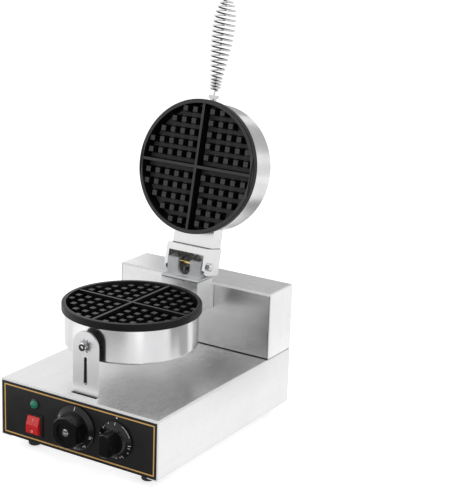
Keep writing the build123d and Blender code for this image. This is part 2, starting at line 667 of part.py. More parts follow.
def front_stay():
    """Slotted upright strap that carries the front of the lower drum, with its bolt and star washer."""
    near = FRONT + STAY_FROM_FRONT
    far = near + STAY_THICKNESS
    bolt_z = STAY_BOLT_Z
    top = bolt_z + STAY_ABOVE_BOLT
    low = BASE_TOP - SHEET - STAY_THICKNESS
    middle = top - STAY_HALF_WIDTH
    strap = Pos(0, (low + middle) / 2) * Rectangle(2 * STAY_HALF_WIDTH, middle - low)
    strap += Pos(0, middle) * Circle(STAY_HALF_WIDTH)
    slot_low = BASE_TOP + STAY_SLOT_LOW
    slot_high = bolt_z - STAY_SLOT_BELOW_BOLT
    slot_length = slot_high - slot_low
    strap -= Pos(0, (slot_low + slot_high) / 2) * SlotOverall(slot_length, STAY_SLOT_WIDTH, rotation=90)
    strap -= Pos(0, bolt_z) * Circle(STAY_BOLT_RADIUS + PIN_FIT)
    stay = along_y(strap, near, far)
    stay += block(-STAY_HALF_WIDTH, STAY_HALF_WIDTH, far, far + STAY_FOOT, low, low + STAY_THICKNESS)
    keep("front_stay", stay)

    drum_front = DRUM_Y - PAN_RADIUS
    washer_near = near - 1.0
    teeth = Sketch() + Circle(STAR_WASHER_RADIUS)
    tooth_foot = STAR_WASHER_RADIUS - 0.8
    tooth = Polygon((tooth_foot, -1.7), (STAR_WASHER_REACH, 0.0), (tooth_foot, 1.7), align=None)
    for step in range(STAR_WASHER_TEETH):
        teeth += Rot(0, 0, 360.0 / STAR_WASHER_TEETH * step) * tooth
    teeth -= Circle(STAY_BOLT_RADIUS + PIN_FIT)
    keep("star_washer", along_y(Pos(0, bolt_z) * teeth, washer_near, near - SEAT_GAP))
    head_back = washer_near - SEAT_GAP
    head_front = head_back - STAY_BOLT_HEAD_HEIGHT
    inside = drum_front + PAN_WALL + 0.6
    nut_end = inside + STAY_NUT_THICKNESS
    head = along_y(Pos(0, bolt_z) * hexagon(STAY_BOLT_HEAD), head_front, head_back)
    dome = [(0.0, 0.0), (STAY_BOLT_HEAD / 2 - 0.5, 0.0), (3.2, 1.8), (0.0, 2.3)]
    head += turned_y(dome, 0, bolt_z, head_front)
    shank = rod_y(STAY_BOLT_RADIUS, head_back, nut_end + 1.6, 0, bolt_z)
    keep("stay_bolt", head + shank)
    nut = along_y(Pos(0, bolt_z) * hexagon(STAY_NUT), inside, nut_end)
    nut -= rod_y(STAY_BOLT_RADIUS + PIN_FIT, inside - 1.0, nut_end + 1.0, 0, bolt_z)
    keep("stay_nut", nut)
    spacer = rod_y(STAY_SPACER_RADIUS, far + SEAT_GAP, drum_front + 1.0, 0, bolt_z)
    spacer -= rod_y(STAY_BOLT_RADIUS + PIN_FIT, near, drum_front + 2.0, 0, bolt_z)
    spacer -= rod_z(PAN_RADIUS + PIN_FIT, bolt_z - 20.0, bolt_z + 20.0, 0, DRUM_Y)
    keep("stay_spacer", spacer)


def pan(holes):
    """Deep-drawn stainless drum, open at the top, with the given holes cut through its wall."""
    inner = PAN_CORNER - PAN_WALL
    plane = Plane(origin=(0, DRUM_Y, 0), x_dir=(1, 0, 0), z_dir=(0, -1, 0))
    outer_line = [
        Line((0, DRUM_LOW), (PAN_RADIUS - PAN_CORNER, DRUM_LOW)),
        RadiusArc((PAN_RADIUS - PAN_CORNER, DRUM_LOW), (PAN_RADIUS, DRUM_LOW + PAN_CORNER), -PAN_CORNER),
        Line((PAN_RADIUS, DRUM_LOW + PAN_CORNER), (PAN_RADIUS, RIM_LOW)),
        Line((PAN_RADIUS, RIM_LOW), (PAN_RADIUS - PAN_WALL, RIM_LOW)),
        Line((PAN_RADIUS - PAN_WALL, RIM_LOW), (PAN_RADIUS - PAN_WALL, DRUM_LOW + PAN_CORNER)),
        RadiusArc(
            (PAN_RADIUS - PAN_WALL, DRUM_LOW + PAN_CORNER),
            (PAN_RADIUS - PAN_CORNER, DRUM_LOW + PAN_WALL),
            inner,
        ),
        Line((PAN_RADIUS - PAN_CORNER, DRUM_LOW + PAN_WALL), (0, DRUM_LOW + PAN_WALL)),
        Line((0, DRUM_LOW + PAN_WALL), (0, DRUM_LOW)),
    ]
    shell = revolve(plane * make_face(outer_line), axis=Axis((0, DRUM_Y, 0), (0, 0, 1)))
    shell -= rod_z(CENTRE_BOLT_RADIUS + PIN_FIT, DRUM_LOW - 1.0, DRUM_LOW + 2 * PAN_WALL, 0, DRUM_Y)
    for hole in holes:
        shell -= hole
    return shell


def grid_plate():
    """Cast baking plate: rim, sloping well, cross ribs and rows of tapered studs."""
    floor_z = PARTING - WELL_DEPTH
    under_z = floor_z - PLATE_FLOOR
    spigot = PAN_RADIUS - PAN_WALL - PLATE_SPIGOT_GAP
    body = turned_z(
        [
            (0.0, under_z),
            (spigot - PLATE_CORNER, under_z),
            (spigot, under_z + PLATE_CORNER),
            (spigot, RIM_LOW),
            (RIM_RADIUS, RIM_LOW),
            (RIM_RADIUS, PARTING - 0.8),
            (RIM_RADIUS - 0.8, PARTING),
            (WELL_RADIUS, PARTING),
            (WELL_FLOOR_RADIUS, floor_z),
            (0.0, floor_z),
        ],
        0,
        DRUM_Y,
    )
    inside = turned_z(
        [
            (0.0, floor_z - 0.5),
            (WELL_FLOOR_RADIUS + 0.4, floor_z - 0.5),
            (WELL_RADIUS + 0.4, PARTING),
            (0.0, PARTING),
        ],
        0,
        DRUM_Y,
    )
    studs = Sketch()
    count = int(ceil((WELL_FLOOR_RADIUS - STUD_FIRST) / STUD_PITCH)) + 1
    steps = [STUD_FIRST + STUD_PITCH * n for n in range(count)]
    places = [(x, y) for x in steps for y in steps if hypot(x, y) < WELL_FLOOR_RADIUS + 0.5]
    squares = []
    for x, y in places:
        for side_x in (-1, 1):
            for side_y in (-1, 1):
                squares.append(Pos(side_x * x, DRUM_Y + side_y * y) * Rectangle(STUD_BASE, STUD_BASE))
    studs = Sketch() + squares
    draft = degrees(asin((STUD_BASE - STUD_TOP) / 2 / hypot(STUD_HEIGHT, (STUD_BASE - STUD_TOP) / 2)))
    raised = extrude(Pos(0, 0, floor_z - 0.01) * studs, amount=STUD_HEIGHT, taper=draft)
    half_base = RIB_BASE / 2
    half_top = RIB_TOP / 2
    rib = Polygon(
        (-half_base, floor_z - 0.01),
        (half_base, floor_z - 0.01),
        (half_top, floor_z + RIB_HEIGHT),
        (-half_top, floor_z + RIB_HEIGHT),
        align=None,
    )
    long_rib = along_y(rib, DRUM_Y - RIM_RADIUS, DRUM_Y + RIM_RADIUS)
    cross_rib = along_x(Pos(DRUM_Y, 0) * rib, -RIM_RADIUS, RIM_RADIUS)
    relief = (long_rib + cross_rib + raised) & inside
    plate = body + relief
    plate += rod_z(PLATE_BOSS_RADIUS, under_z - PLATE_BOSS_DEPTH, under_z + 0.5, 0, DRUM_Y)
    plate -= rod_z(CENTRE_BOLT_RADIUS + PIN_FIT, under_z - PLATE_BOSS_DEPTH - 1.0, floor_z - 2.0, 0, DRUM_Y)
    groove = Pos(0, DRUM_Y, under_z) * Torus(ELEMENT_RING_RADIUS, ELEMENT_TUBE_RADIUS + 0.15)
    plate -= groove
    return plate


def heating_stack():
    """Tubular element, press plate, mineral wool and centre bolt of the lower drum, in that order."""
    under_z = PARTING - WELL_DEPTH - PLATE_FLOOR
    ring_plane = Plane(origin=(0, DRUM_Y, under_z), x_dir=(1, 0, 0), z_dir=(0, -1, 0))
    ring = revolve(
        ring_plane * Pos(ELEMENT_RING_RADIUS, 0) * Circle(ELEMENT_TUBE_RADIUS),
        axis=Axis((0, DRUM_Y, 0), (0, 0, 1)),
        revolution_arc=ELEMENT_SWEEP,
    )
    gap_angle = 360.0 - ELEMENT_SWEEP
    turn = 90.0 + gap_angle / 2
    ring = ring.rotate(Axis((0, DRUM_Y, 0), (0, 0, 1)), turn)
    tails = []
    for side in (-1, 1):
        angle = radians(90.0 + side * gap_angle / 2)
        x = ELEMENT_RING_RADIUS * cos(angle)
        y = DRUM_Y + ELEMENT_RING_RADIUS * sin(angle)
        tails.append((x, y))
        ring += Pos(x, y, under_z) * Sphere(ELEMENT_TUBE_RADIUS)
        ring += rod_z(ELEMENT_TUBE_RADIUS, under_z - ELEMENT_TAIL, under_z, x, y)
        ring += rod_z(1.6, under_z - ELEMENT_TAIL - 5.0, under_z - ELEMENT_TAIL, x, y)
    press_top = under_z - ELEMENT_TUBE_RADIUS - 0.1
    press = rod_z(PRESS_PLATE_RADIUS, press_top - PRESS_PLATE_THICKNESS, press_top, 0, DRUM_Y)
    press -= rod_z(CENTRE_BOLT_RADIUS + 0.2, press_top - 5.0, press_top + 1.0, 0, DRUM_Y)
    wool_low = DRUM_LOW + PAN_WALL + WOOL_GAP
    wool_high = press_top - PRESS_PLATE_THICKNESS - WOOL_GAP
    wool = rod_z(WOOL_RADIUS, wool_low, wool_high, 0, DRUM_Y)
    wool -= rod_z(CENTRE_BOLT_RADIUS + WOOL_GAP, wool_low - 1.0, wool_high + 1.0, 0, DRUM_Y)
    for x, y in tails:
        press -= rod_z(ELEMENT_TUBE_RADIUS + 0.6, press_top - 5.0, press_top + 1.0, x, y)
        wool -= rod_z(ELEMENT_TUBE_RADIUS + 0.6, wool_low + 8.0, wool_high + 1.0, x, y)
    bolt_top = PARTING - WELL_DEPTH - 2.6
    seat = DRUM_LOW - SEAT_GAP
    bolt = rod_z(CENTRE_BOLT_RADIUS, seat, bolt_top, 0, DRUM_Y)
    bolt += along_z(Pos(0, DRUM_Y) * hexagon(CENTRE_BOLT_HEAD), seat - CENTRE_BOLT_HEAD_HEIGHT, seat)
    return ring, press, wool, bolt


def lower_drum():
    """Fixed lower half: drum, plate and heating stack."""
    bolt_z = STAY_BOLT_Z
    front_wall = DRUM_Y - PAN_RADIUS
    rear_wall = DRUM_Y + PAN_RADIUS
    holes = [
        rod_y(STAY_BOLT_RADIUS + PIN_FIT, front_wall - 5.0, front_wall + 12.0, 0, bolt_z),
        rod_y(DUCT_HOLE_RADIUS, rear_wall - 12.0, rear_wall + 5.0, 0, DUCT_Z),
    ]
    keep("lower_drum", pan(holes))
    keep("lower_grid_plate", grid_plate())
    ring, press, wool, bolt = heating_stack()
    keep("lower_element", ring)
    keep("lower_press_plate", press)
    keep("lower_wool", wool)
    keep("lower_centre_bolt", bolt)


def upper_drum():
    """Hinged upper half: the same drum and plate, mirrored, with the handle hole in front."""
    handle_z = 2 * PARTING - lid_z(HANDLE_HEIGHT)
    block_z = 2 * PARTING - lid_z((BLOCK_LOW + BLOCK_HIGH) / 2)
    front_wall = DRUM_Y - PAN_RADIUS
    rear_wall = DRUM_Y + PAN_RADIUS
    holes = [
        rod_y(POST_SCREW_RADIUS + PIN_FIT, front_wall - 5.0, front_wall + 12.0, 0, handle_z),
        rod_y(DUCT_HOLE_RADIUS, rear_wall - 12.0, rear_wall + 5.0, 0, block_z),
    ]
    keep("upper_drum", open_lid(flip(pan(holes))))
    keep("upper_grid_plate", open_lid(flip(grid_plate())))
    ring, press, wool, bolt = heating_stack()
    keep("upper_element", open_lid(flip(ring)))
    keep("upper_press_plate", open_lid(flip(press)))
    keep("upper_wool", open_lid(flip(wool)))
    keep("upper_centre_bolt", open_lid(flip(bolt)))


def hood():
    """Slim housing across the back of the base: folded cover, front panel and vented back."""
    section = folded_u(BASE_WIDTH, HOOD_LOW, HOOD_TOP)
    cover = along_y(section, HOOD_FRONT, BACK)
    cover += block(-INSIDE, INSIDE, HOOD_FRONT, HOOD_FRONT + SHEET, HOOD_TOP - FRONT_LIP, HOOD_TOP - SHEET)
    keep("hood_cover", cover)
    face = HOOD_FRONT + 0.4
    panel = block(-INSIDE + SEAM, INSIDE - SEAM, face, face + SHEET, HOOD_LOW, HOOD_TOP - FRONT_LIP - SEAM)
    panel -= block(-HOOD_WINDOW, HOOD_WINDOW, face - 1.0, face + 3.0, NECK_LOW + 5.0, HOOD_TOP - 8.0)
    keep("hood_front", panel)
    back = along_y(end_panel(HOOD_LOW, HOOD_TOP - SHEET - SEAM), BACK - 2 * SHEET, BACK - SHEET)
    back -= vent_row(HOOD_VENTS, HOOD_VENT_LENGTH, 0, (HOOD_LOW + HOOD_TOP) / 2)
    keep("hood_back", back)


def lead_way(low, high):
    """The rounded opening through which the leads pass under the hinge."""
    return along_z(Pos(0, HINGE_Y) * RectangleRounded(LEAD_WAY_WIDTH, LEAD_WAY_DEPTH, 3.0), low, high)


def casting_screw_places():
    """Centres of the four screws that hold the hinge casting."""
    rows = (HINGE_Y - CASTING_SCREWS_AHEAD, HINGE_Y + CASTING_SCREWS_BEHIND)
    return [(x, y) for x in (-CASTING_SCREW_X, CASTING_SCREW_X) for y in rows]


def neck():
    """Welded box neck that carries the drum and the hinge, the duct to the drum and its gasket."""
    rear = HOOD_FRONT - 0.1
    plate = 1.5
    half = NECK_HALF_WIDTH
    hollow = half - NECK_WALL
    box = block(-half, half, NECK_FRONT, rear, NECK_LOW, NECK_TOP)
    inside_top = NECK_TOP - NECK_WALL
    box -= block(-hollow, hollow, NECK_FRONT + NECK_WALL, rear - plate, NECK_LOW + NECK_WALL, inside_top)
    flange = half + NECK_FLANGE
    box += block(-flange, flange, rear - plate, rear, NECK_LOW, HOOD_TOP - FRONT_LIP)
    box -= block(-HOOD_WINDOW, HOOD_WINDOW, rear - 2 * plate, rear + 1.0, NECK_LOW + 5.0, HOOD_TOP - 8.0)
    box -= rod_y(DUCT_HOLE_RADIUS + 1.0, NECK_FRONT - 1.0, NECK_FRONT + 2 * NECK_WALL, 0, DUCT_Z)
    box -= lead_way(NECK_TOP - 2 * NECK_WALL, NECK_TOP + 1.0)
    for x, y in casting_screw_places():
        box -= rod_z(CASTING_SCREW_RADIUS + PIN_FIT, NECK_TOP - 2 * NECK_WALL, NECK_TOP + 1.0, x, y)
    keep("neck_box", box)

    half_duct = DUCT_HALF_WIDTH
    low = DUCT_Z - DUCT_HEIGHT / 2
    high = DUCT_Z + DUCT_HEIGHT / 2
    duct = block(-half_duct, half_duct, DRUM_Y, NECK_FRONT, low, high)
    bore = half_duct - DUCT_WALL
    duct -= block(-bore, bore, DRUM_Y, NECK_FRONT + 1.0, low + DUCT_WALL, high - DUCT_WALL)
    duct -= rod_z(PAN_RADIUS + PIN_FIT, low - 1.0, high + 1.0, 0, DRUM_Y)
    keep("drum_duct", duct)

    edge = NECK_HALF_WIDTH - 0.6
    sheet = block(-edge, edge, NECK_FRONT + 0.9, HOOD_FRONT - 0.6, NECK_TOP, CASTING_LOW)
    sheet -= lead_way(NECK_TOP - 1.0, CASTING_LOW + 1.0)
    for x, y in casting_screw_places():
        sheet -= rod_z(CASTING_SCREW_RADIUS + PIN_FIT, NECK_TOP - 1.0, CASTING_LOW + 1.0, x, y)
    keep("hinge_gasket", sheet)


def hinge_casting():
    """Grey cast hinge saddle: foot, slotted front wall and two bored ears."""
    half = NECK_HALF_WIDTH
    foot = block(-half, half, NECK_FRONT + 0.4, HOOD_FRONT - 0.3, CASTING_LOW, CASTING_FLOOR)
    front_edge = foot.edges().filter_by(Axis.X).group_by(Axis.Y)[0].group_by(Axis.Z)[-1]
    foot = chamfer(front_edge, 1.2)
    high = HINGE_Z + UPRIGHT_ABOVE_HINGE
    wall = Pos(0, (CASTING_FLOOR + high) / 2) * Rectangle(2 * UPRIGHT_HALF_WIDTH, high - CASTING_FLOOR)
    slot_z = HINGE_Z - SADDLE_SLOT_BELOW_HINGE
    wall -= Pos(0, slot_z) * Circle(SADDLE_SLOT_RADIUS)
    wall -= Pos(0, slot_z + 20.0) * Rectangle(2 * SADDLE_SLOT_RADIUS, 40.0)
    casting = foot + along_y(wall, UPRIGHT_FRONT, UPRIGHT_FRONT + UPRIGHT_THICKNESS)
    wall_back = UPRIGHT_FRONT + UPRIGHT_THICKNESS
    ear = Polygon(
        (wall_back - 1.0, CASTING_FLOOR - 0.5),
        (HINGE_Y + EAR_REAR_REACH, CASTING_FLOOR - 0.5),
        (HINGE_Y + EAR_BOSS_RADIUS, HINGE_Z),
        (HINGE_Y, high),
        (wall_back - 1.0, high),
        align=None,
    )
    ear += Pos(HINGE_Y, HINGE_Z) * Circle(EAR_BOSS_RADIUS)
    inner = UPRIGHT_HALF_WIDTH - EAR_THICKNESS
    for start in (-UPRIGHT_HALF_WIDTH, inner):
        casting += along_x(ear, start, start + EAR_THICKNESS)
    bore_end = UPRIGHT_HALF_WIDTH + 1.0
    casting -= rod_x(HINGE_PIN_RADIUS + PIN_FIT, -bore_end, bore_end, HINGE_Y, HINGE_Z)
    casting -= lead_way(CASTING_LOW - 1.0, CASTING_FLOOR + 1.0)
    screw_end = CASTING_FLOOR - 0.6
    screws = []
    for x, y in casting_screw_places():
        casting -= rod_z(CASTING_SCREW_RADIUS + PIN_FIT, CASTING_LOW - 1.0, screw_end, x, y)
        head_top = NECK_TOP - NECK_WALL
        screw = rod_z(CASTING_SCREW_RADIUS, head_top, screw_end - 0.1, x, y)
        screws.append(screw + along_z(Pos(x, y) * hexagon(CASTING_SCREW_HEAD), head_top - 2.8, head_top))
    keep("hinge_casting", casting)
    keep("casting_screws", Compound(children=screws))


def lid_arm():
    """Stainless arm of the lid: block on the drum, windowed channel, pin, bushes, nuts and stop bar."""
    inner = CHEEK_OUTSIDE - ARM_SHEET
    y_start = lid_y(ARM_START)
    y_end = lid_y(ARM_END)
    low = lid_z(ARM_LOW)
    high = lid_z(ARM_HIGH)
    side = Pos((y_start + y_end) / 2, (low + high) / 2) * Rectangle(y_end - y_start, high - low)
    nose = side.vertices().group_by(Axis.X)[-1].group_by(Axis.Y)[0]
    side = fillet(nose, ARM_NOSE_RADIUS)
    bore = Pos(HINGE_Y, HINGE_Z) * Circle(HINGE_PIN_RADIUS + PIN_FIT)
    cheek = side - bore
    channel = along_x(cheek, -CHEEK_OUTSIDE, -inner) + along_x(cheek, inner, CHEEK_OUTSIDE)
    shell = along_x(side, -CHEEK_OUTSIDE, CHEEK_OUTSIDE)
    channel += shell & block(-inner, inner, y_start, y_end, high - ARM_SHEET, high)
    channel += shell & block(-inner, inner, y_start, y_start + ARM_SHEET, low, high)
    frame = shell & block(-inner, inner, y_start, y_end - ARM_NOSE_RADIUS, low, low + ARM_SHEET)
    window = CHEEK_OUTSIDE - FRAME_STRIP
    frame -= block(-window, window, y_start + FRAME_BAR, y_end + 1.0, low - 1.0, low + ARM_SHEET + 1.0)
    channel += frame
    lead_hole_z = lid_z((BLOCK_LOW + BLOCK_HIGH) / 2)
    lead_hole = Pos(0, lead_hole_z) * RectangleRounded(LEAD_HOLE_WIDTH, LEAD_HOLE_HEIGHT, 3.0)
    channel -= along_y(lead_hole, y_start - 1.0, y_start + ARM_SHEET + 1.0)
    keep("lid_channel", open_lid(channel))

    outer = block(-BLOCK_HALF_WIDTH, BLOCK_HALF_WIDTH, DRUM_Y, y_start, lid_z(BLOCK_LOW), lid_z(BLOCK_HIGH))
    hollow = block(
        -BLOCK_HALF_WIDTH + BLOCK_WALL,
        BLOCK_HALF_WIDTH - BLOCK_WALL,
        DRUM_Y,
        y_start - BLOCK_WALL,
        lid_z(BLOCK_LOW) + BLOCK_WALL,
        lid_z(BLOCK_HIGH) - BLOCK_WALL,
    )
    arm_block = outer - hollow
    arm_block -= along_y(lead_hole, y_start - 2 * BLOCK_WALL, y_start + 1.0)
    arm_block -= rod_z(PAN_RADIUS + PIN_FIT, PARTING, PARTING + 2 * PAN_DEPTH, 0, DRUM_Y)
    keep("lid_block", open_lid(arm_block))

    pin_end = CHEEK_OUTSIDE + HINGE_PIN_THREAD
    keep("hinge_pin", open_lid(rod_x(HINGE_PIN_RADIUS, -pin_end, pin_end, HINGE_Y, HINGE_Z)))
    bushes = []
    nuts = []
    for side_sign in (-1, 1):
        near = side_sign * (UPRIGHT_HALF_WIDTH + 2 * SEAT_GAP)
        far = side_sign * (inner - SEAT_GAP)
        bush = rod_x(HINGE_PIN_RADIUS + BUSH_WALL, min(near, far), max(near, far), HINGE_Y, HINGE_Z)
        bush -= rod_x(HINGE_PIN_RADIUS + PIN_FIT, min(near, far) - 1, max(near, far) + 1, HINGE_Y, HINGE_Z)
        bushes.append(open_lid(bush))
        seat = CHEEK_OUTSIDE + SEAT_GAP
        nut_flats = 2 * (HINGE_PIN_RADIUS + HINGE_NUT_WALL)
        crown = seat + HINGE_NUT_THICKNESS
        nut = along_x(Pos(HINGE_Y, HINGE_Z) * hexagon(nut_flats), seat, crown)
        cap_plane = Plane(origin=(crown, HINGE_Y, HINGE_Z), x_dir=(0, 1, 0), z_dir=(1, 0, 0))
        nut += extrude(cap_plane * Circle(nut_flats / 2 - 0.4), amount=1.3, taper=35)
        nut -= rod_x(HINGE_PIN_RADIUS + PIN_FIT, seat - 1.0, pin_end + SEAT_GAP, HINGE_Y, HINGE_Z)
        if side_sign < 0:
            nut = mirror(nut, about=Plane.YZ)
        nuts.append(open_lid(nut))
    keep("hinge_bushes", Compound(children=bushes))
    keep("hinge_nuts", Compound(children=nuts))

    drop = HINGE_Z - CASTING_FLOOR - STOP_BAR_RADIUS - STOP_GAP
    open_place = -asin(drop / STOP_BAR_REACH)
    bar_y = HINGE_Y + STOP_BAR_REACH * cos(open_place)
    bar_z = HINGE_Z + STOP_BAR_REACH * sin(open_place)
    keep("stop_bar", rod_x(STOP_BAR_RADIUS, -inner, inner, bar_y, bar_z))


def smooth_tube(points, radius, bend):
    """A round tube along straight runs joined by equal arcs."""
    path = FilletPolyline(*points, radius=bend)
    section = Plane(origin=path @ 0, z_dir=path % 0) * Circle(radius)
    return sweep(section, path=path)


def hinge_leads():
    """Sleeved leads through the hinge: one half rides with the lid, the other stays in the neck."""
    lean = radians(HANDLE_LEAN)
    bulkhead = HINGE_FROM_FRONT - DRUM_FROM_FRONT - ARM_START - ARM_SHEET
    behind = (BLOCK_LOW + BLOCK_HIGH) / 2 - HINGE_ABOVE_PARTING
    crossing = HINGE_Y + HINGE_PIN_RADIUS + 0.3 + LEAD_RADIUS

    def in_arm(x, along):
        y = HINGE_Y + along * sin(lean) + behind * cos(lean)
        return (x, y, HINGE_Z + along * cos(lean) - behind * sin(lean))

    lid_halves = []
    neck_halves = []
    for x in LEAD_PLACES:
        upper = [in_arm(x, bulkhead + 8.0), in_arm(x, 9.0)]
        upper += [(x, crossing, HINGE_Z + 4.5), (x, crossing, HINGE_Z + 0.2)]
        lid_halves.append(smooth_tube(upper, LEAD_RADIUS, LEAD_BEND))
        lower = [(x, crossing, HINGE_Z - 0.2), (x, crossing, HINGE_Z - 4.0)]
        lower += [(x, HINGE_Y + 1.0, NECK_TOP + 5.0), (x, HINGE_Y + 1.0, NECK_TOP - 16.0)]
        neck_halves.append(smooth_tube(lower, LEAD_RADIUS, LEAD_BEND))
    keep("lid_leads", Compound(children=lid_halves))
    keep("neck_leads", Compound(children=neck_halves))


def coil_radius(share):
    """Mean radius of the coil handle at a share of its length from the lid."""
    if share < HANDLE_BELLY_AT:
        swell = sin(pi / 2 * share / HANDLE_BELLY_AT) ** 1.5
        return HANDLE_FOOT_RADIUS + (HANDLE_BELLY_RADIUS - HANDLE_FOOT_RADIUS) * swell
    drawn = (share - HANDLE_BELLY_AT) / (1.02 - HANDLE_BELLY_AT)
    return HANDLE_BELLY_RADIUS * sqrt(1 - drawn**2.4)


def ramp(turn, start):
    """A smooth ramp that climbs by one for each turn past its start."""
    return (turn - start + sqrt((turn - start) ** 2 + 0.5)) / 2


def coil_share(turn):
    """Share of the coil's length reached after a number of turns: close near both ends."""
    wide = ramp(turn, HANDLE_OPENS_AT) - ramp(turn, HANDLE_CLOSES_AT)
    return (HANDLE_CLOSE_PITCH * turn + (HANDLE_PITCH - HANDLE_CLOSE_PITCH) * wide) / HANDLE_LENGTH


def coil_point(turn):
    """A place on the centre line of the handle wire, in the closed lid."""
    share = coil_share(turn)
    radius = coil_radius(share)
    angle = 2 * pi * turn
    reach = -HANDLE_START - share * HANDLE_LENGTH
    return Vector(radius * cos(angle), lid_y(reach), lid_z(HANDLE_HEIGHT) + radius * sin(angle))


def coil_tangent(turn):
    """Direction of the handle wire at a turn."""
    step = 1e-4
    ahead = coil_point(min(turn + step, HANDLE_TURNS))
    behind = coil_point(max(turn - step, 0.0))
    return (ahead - behind).normalized()


def biarc(start, start_way, end, end_way):
    """Two arcs that leave start along start_way, meet smoothly, and reach end along end_way."""
    gap = end - start
    ways = start_way + end_way
    a = ways.dot(ways) - 4.0
    b = -2.0 * gap.dot(ways)
    c = gap.dot(gap)
    length = (-b - sqrt(b * b - 4 * a * c)) / (2 * a)
    near = start + start_way * length
    far = end - end_way * length
    middle = (near + far) * 0.5
    way = (far - near).normalized()
    return [TangentArc(start, middle, tangent=start_way), TangentArc(middle, end, tangent=way)]


def coil_handle():
    """Cool-grip handle: one wire coiled in a long bulb, on a turned post with a hexagon."""
    axis_z = lid_z(HANDLE_HEIGHT)
    foot = Vector(0, lid_y(-POST_HEX_END), axis_z)
    away = Vector(0, -1, 0)
    run = 2 * HANDLE_WIRE_RADIUS
    after_run = foot + away * run
    edges = [Line(foot, after_run)]
    turn = 0.25
    edges += biarc(after_run, away, coil_point(turn), coil_tangent(turn))
    while turn < HANDLE_TURNS - 1e-6:
        following = min(turn + 0.5, HANDLE_TURNS)
        edges += biarc(coil_point(turn), coil_tangent(turn), coil_point(following), coil_tangent(following))
        turn = following
    last = coil_point(HANDLE_TURNS)
    edges.append(Line(last, last + coil_tangent(HANDLE_TURNS) * run))
    path = Wire(edges)
    section = Plane(origin=foot, z_dir=away) * Circle(HANDLE_WIRE_RADIUS)
    coil = sweep(section, path=path)
    keep("coil_handle", open_lid(coil))
    report_coil(path, coil)

    wall = lid_y(-PAN_RADIUS)
    nut_end = wall + PAN_WALL + 0.3 + POST_NUT_THICKNESS
    hex_back = lid_y(-POST_HEX_START)
    post = along_y(Pos(0, axis_z) * hexagon(POST_HEX), lid_y(-POST_HEX_END), hex_back)
    post += rod_y(POST_NECK_RADIUS, hex_back, wall - 1.4, 0, axis_z)
    post += rod_y(POST_COLLAR_RADIUS, wall - 1.9, wall - 0.3, 0, axis_z)
    post += rod_y(POST_SCREW_RADIUS, wall - 1.0, nut_end + 0.8, 0, axis_z)
    keep("handle_post", open_lid(post))
    nut = along_y(Pos(0, axis_z) * hexagon(POST_NUT), nut_end - POST_NUT_THICKNESS, nut_end)
    nut -= rod_y(POST_SCREW_RADIUS + PIN_FIT, wall, nut_end + 2.0, 0, axis_z)
    keep("handle_nut", open_lid(nut))


def report_coil(path, coil):
    """Prints the wire's length, volume check and the least gap between its turns."""
    samples = 48
    points = [coil_point(n / samples) for n in range(int(HANDLE_TURNS * samples) + 1)]
    least = 1e9
    skip = samples // 2
    for i, first in enumerate(points):
        for second in points[i + skip : i + 2 * samples]:
            least = min(least, (first - second).length)
    ideal = path.length * pi * HANDLE_WIRE_RADIUS**2
    print("handle wire length mm", round(path.length, 1), "volume ratio", round(coil.volume / ideal, 4))
    print("handle wire least gap mm", round(least - 2 * HANDLE_WIRE_RADIUS, 2))


def rear_gland_and_terminals():
    """Cord gland in the back of the base and the ceramic terminal block on its floor."""
    z = BASE_LOW + GLAND_HEIGHT
    face = BACK - SHEET
    inside = BACK - 2 * SHEET
    hex_face = face + GLAND_HEX_THICKNESS
    gland = rod_y(GLAND_THREAD_RADIUS, inside - GLAND_HEX_THICKNESS - 1.0, face, GLAND_X, z)
    gland += along_y(Pos(GLAND_X, z) * hexagon(GLAND_HEX), face, hex_face)
    plane = Plane(origin=(GLAND_X, hex_face, z), x_dir=(1, 0, 0), z_dir=(0, 1, 0))
    gland += extrude(plane * Circle(GLAND_CROWN_RADIUS), amount=GLAND_REACH - GLAND_HEX_THICKNESS, taper=12)
    gland -= rod_y(CORD_RADIUS, BACK - 30.0, BACK + 30.0, GLAND_X, z)
    keep("cord_gland", gland)
    nut = along_y(Pos(GLAND_X, z) * hexagon(GLAND_HEX), inside - GLAND_HEX_THICKNESS, inside)
    nut -= rod_y(GLAND_THREAD_RADIUS + PIN_FIT, BACK - 30.0, BACK, GLAND_X, z)
    keep("gland_nut", nut)
    low = BASE_LOW + 2 * SHEET
    right = GLAND_X + 2.0
    row_y = BACK - TERMINAL_FROM_BACK
    near = row_y - TERMINAL_DEPTH / 2
    far = row_y + TERMINAL_DEPTH / 2
    terminal = block(right - TERMINAL_LENGTH, right, near, far, low, low + TERMINAL_HEIGHT)
    for pole in range(TERMINAL_POLES):
        x = right - TERMINAL_LENGTH + 6.0 + TERMINAL_PITCH * pole
        terminal -= rod_y(2.6, near - 1.0, far + 1.0, x, low + TERMINAL_HEIGHT / 2 - 0.5)
        terminal -= rod_z(2.2, low + 11.0, low + TERMINAL_HEIGHT + 1.0, x, row_y)
    keep("terminal_block", terminal)


base_housing()
feet()
control_panel()
pilot_lamp()
rocker_switch()
thermostat()
timer()
front_stay()
lower_drum()
hood()
neck()
hinge_casting()
upper_drum()
lid_arm()
hinge_leads()
coil_handle()
rear_gland_and_terminals()

os.makedirs("parts", exist_ok=True)
for name, shape in PARTS.items():
    shape.label = name
    export_step(shape, "parts/" + name + ".step")
print("nodes", len(PARTS), "front at", round(FRONT, 3), "hinge at", round(HINGE_Y, 3), round(HINGE_Z, 3))
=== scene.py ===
from math import cos, pi, radians, sin

import bmesh
import bpy
from mathutils import Matrix, Vector


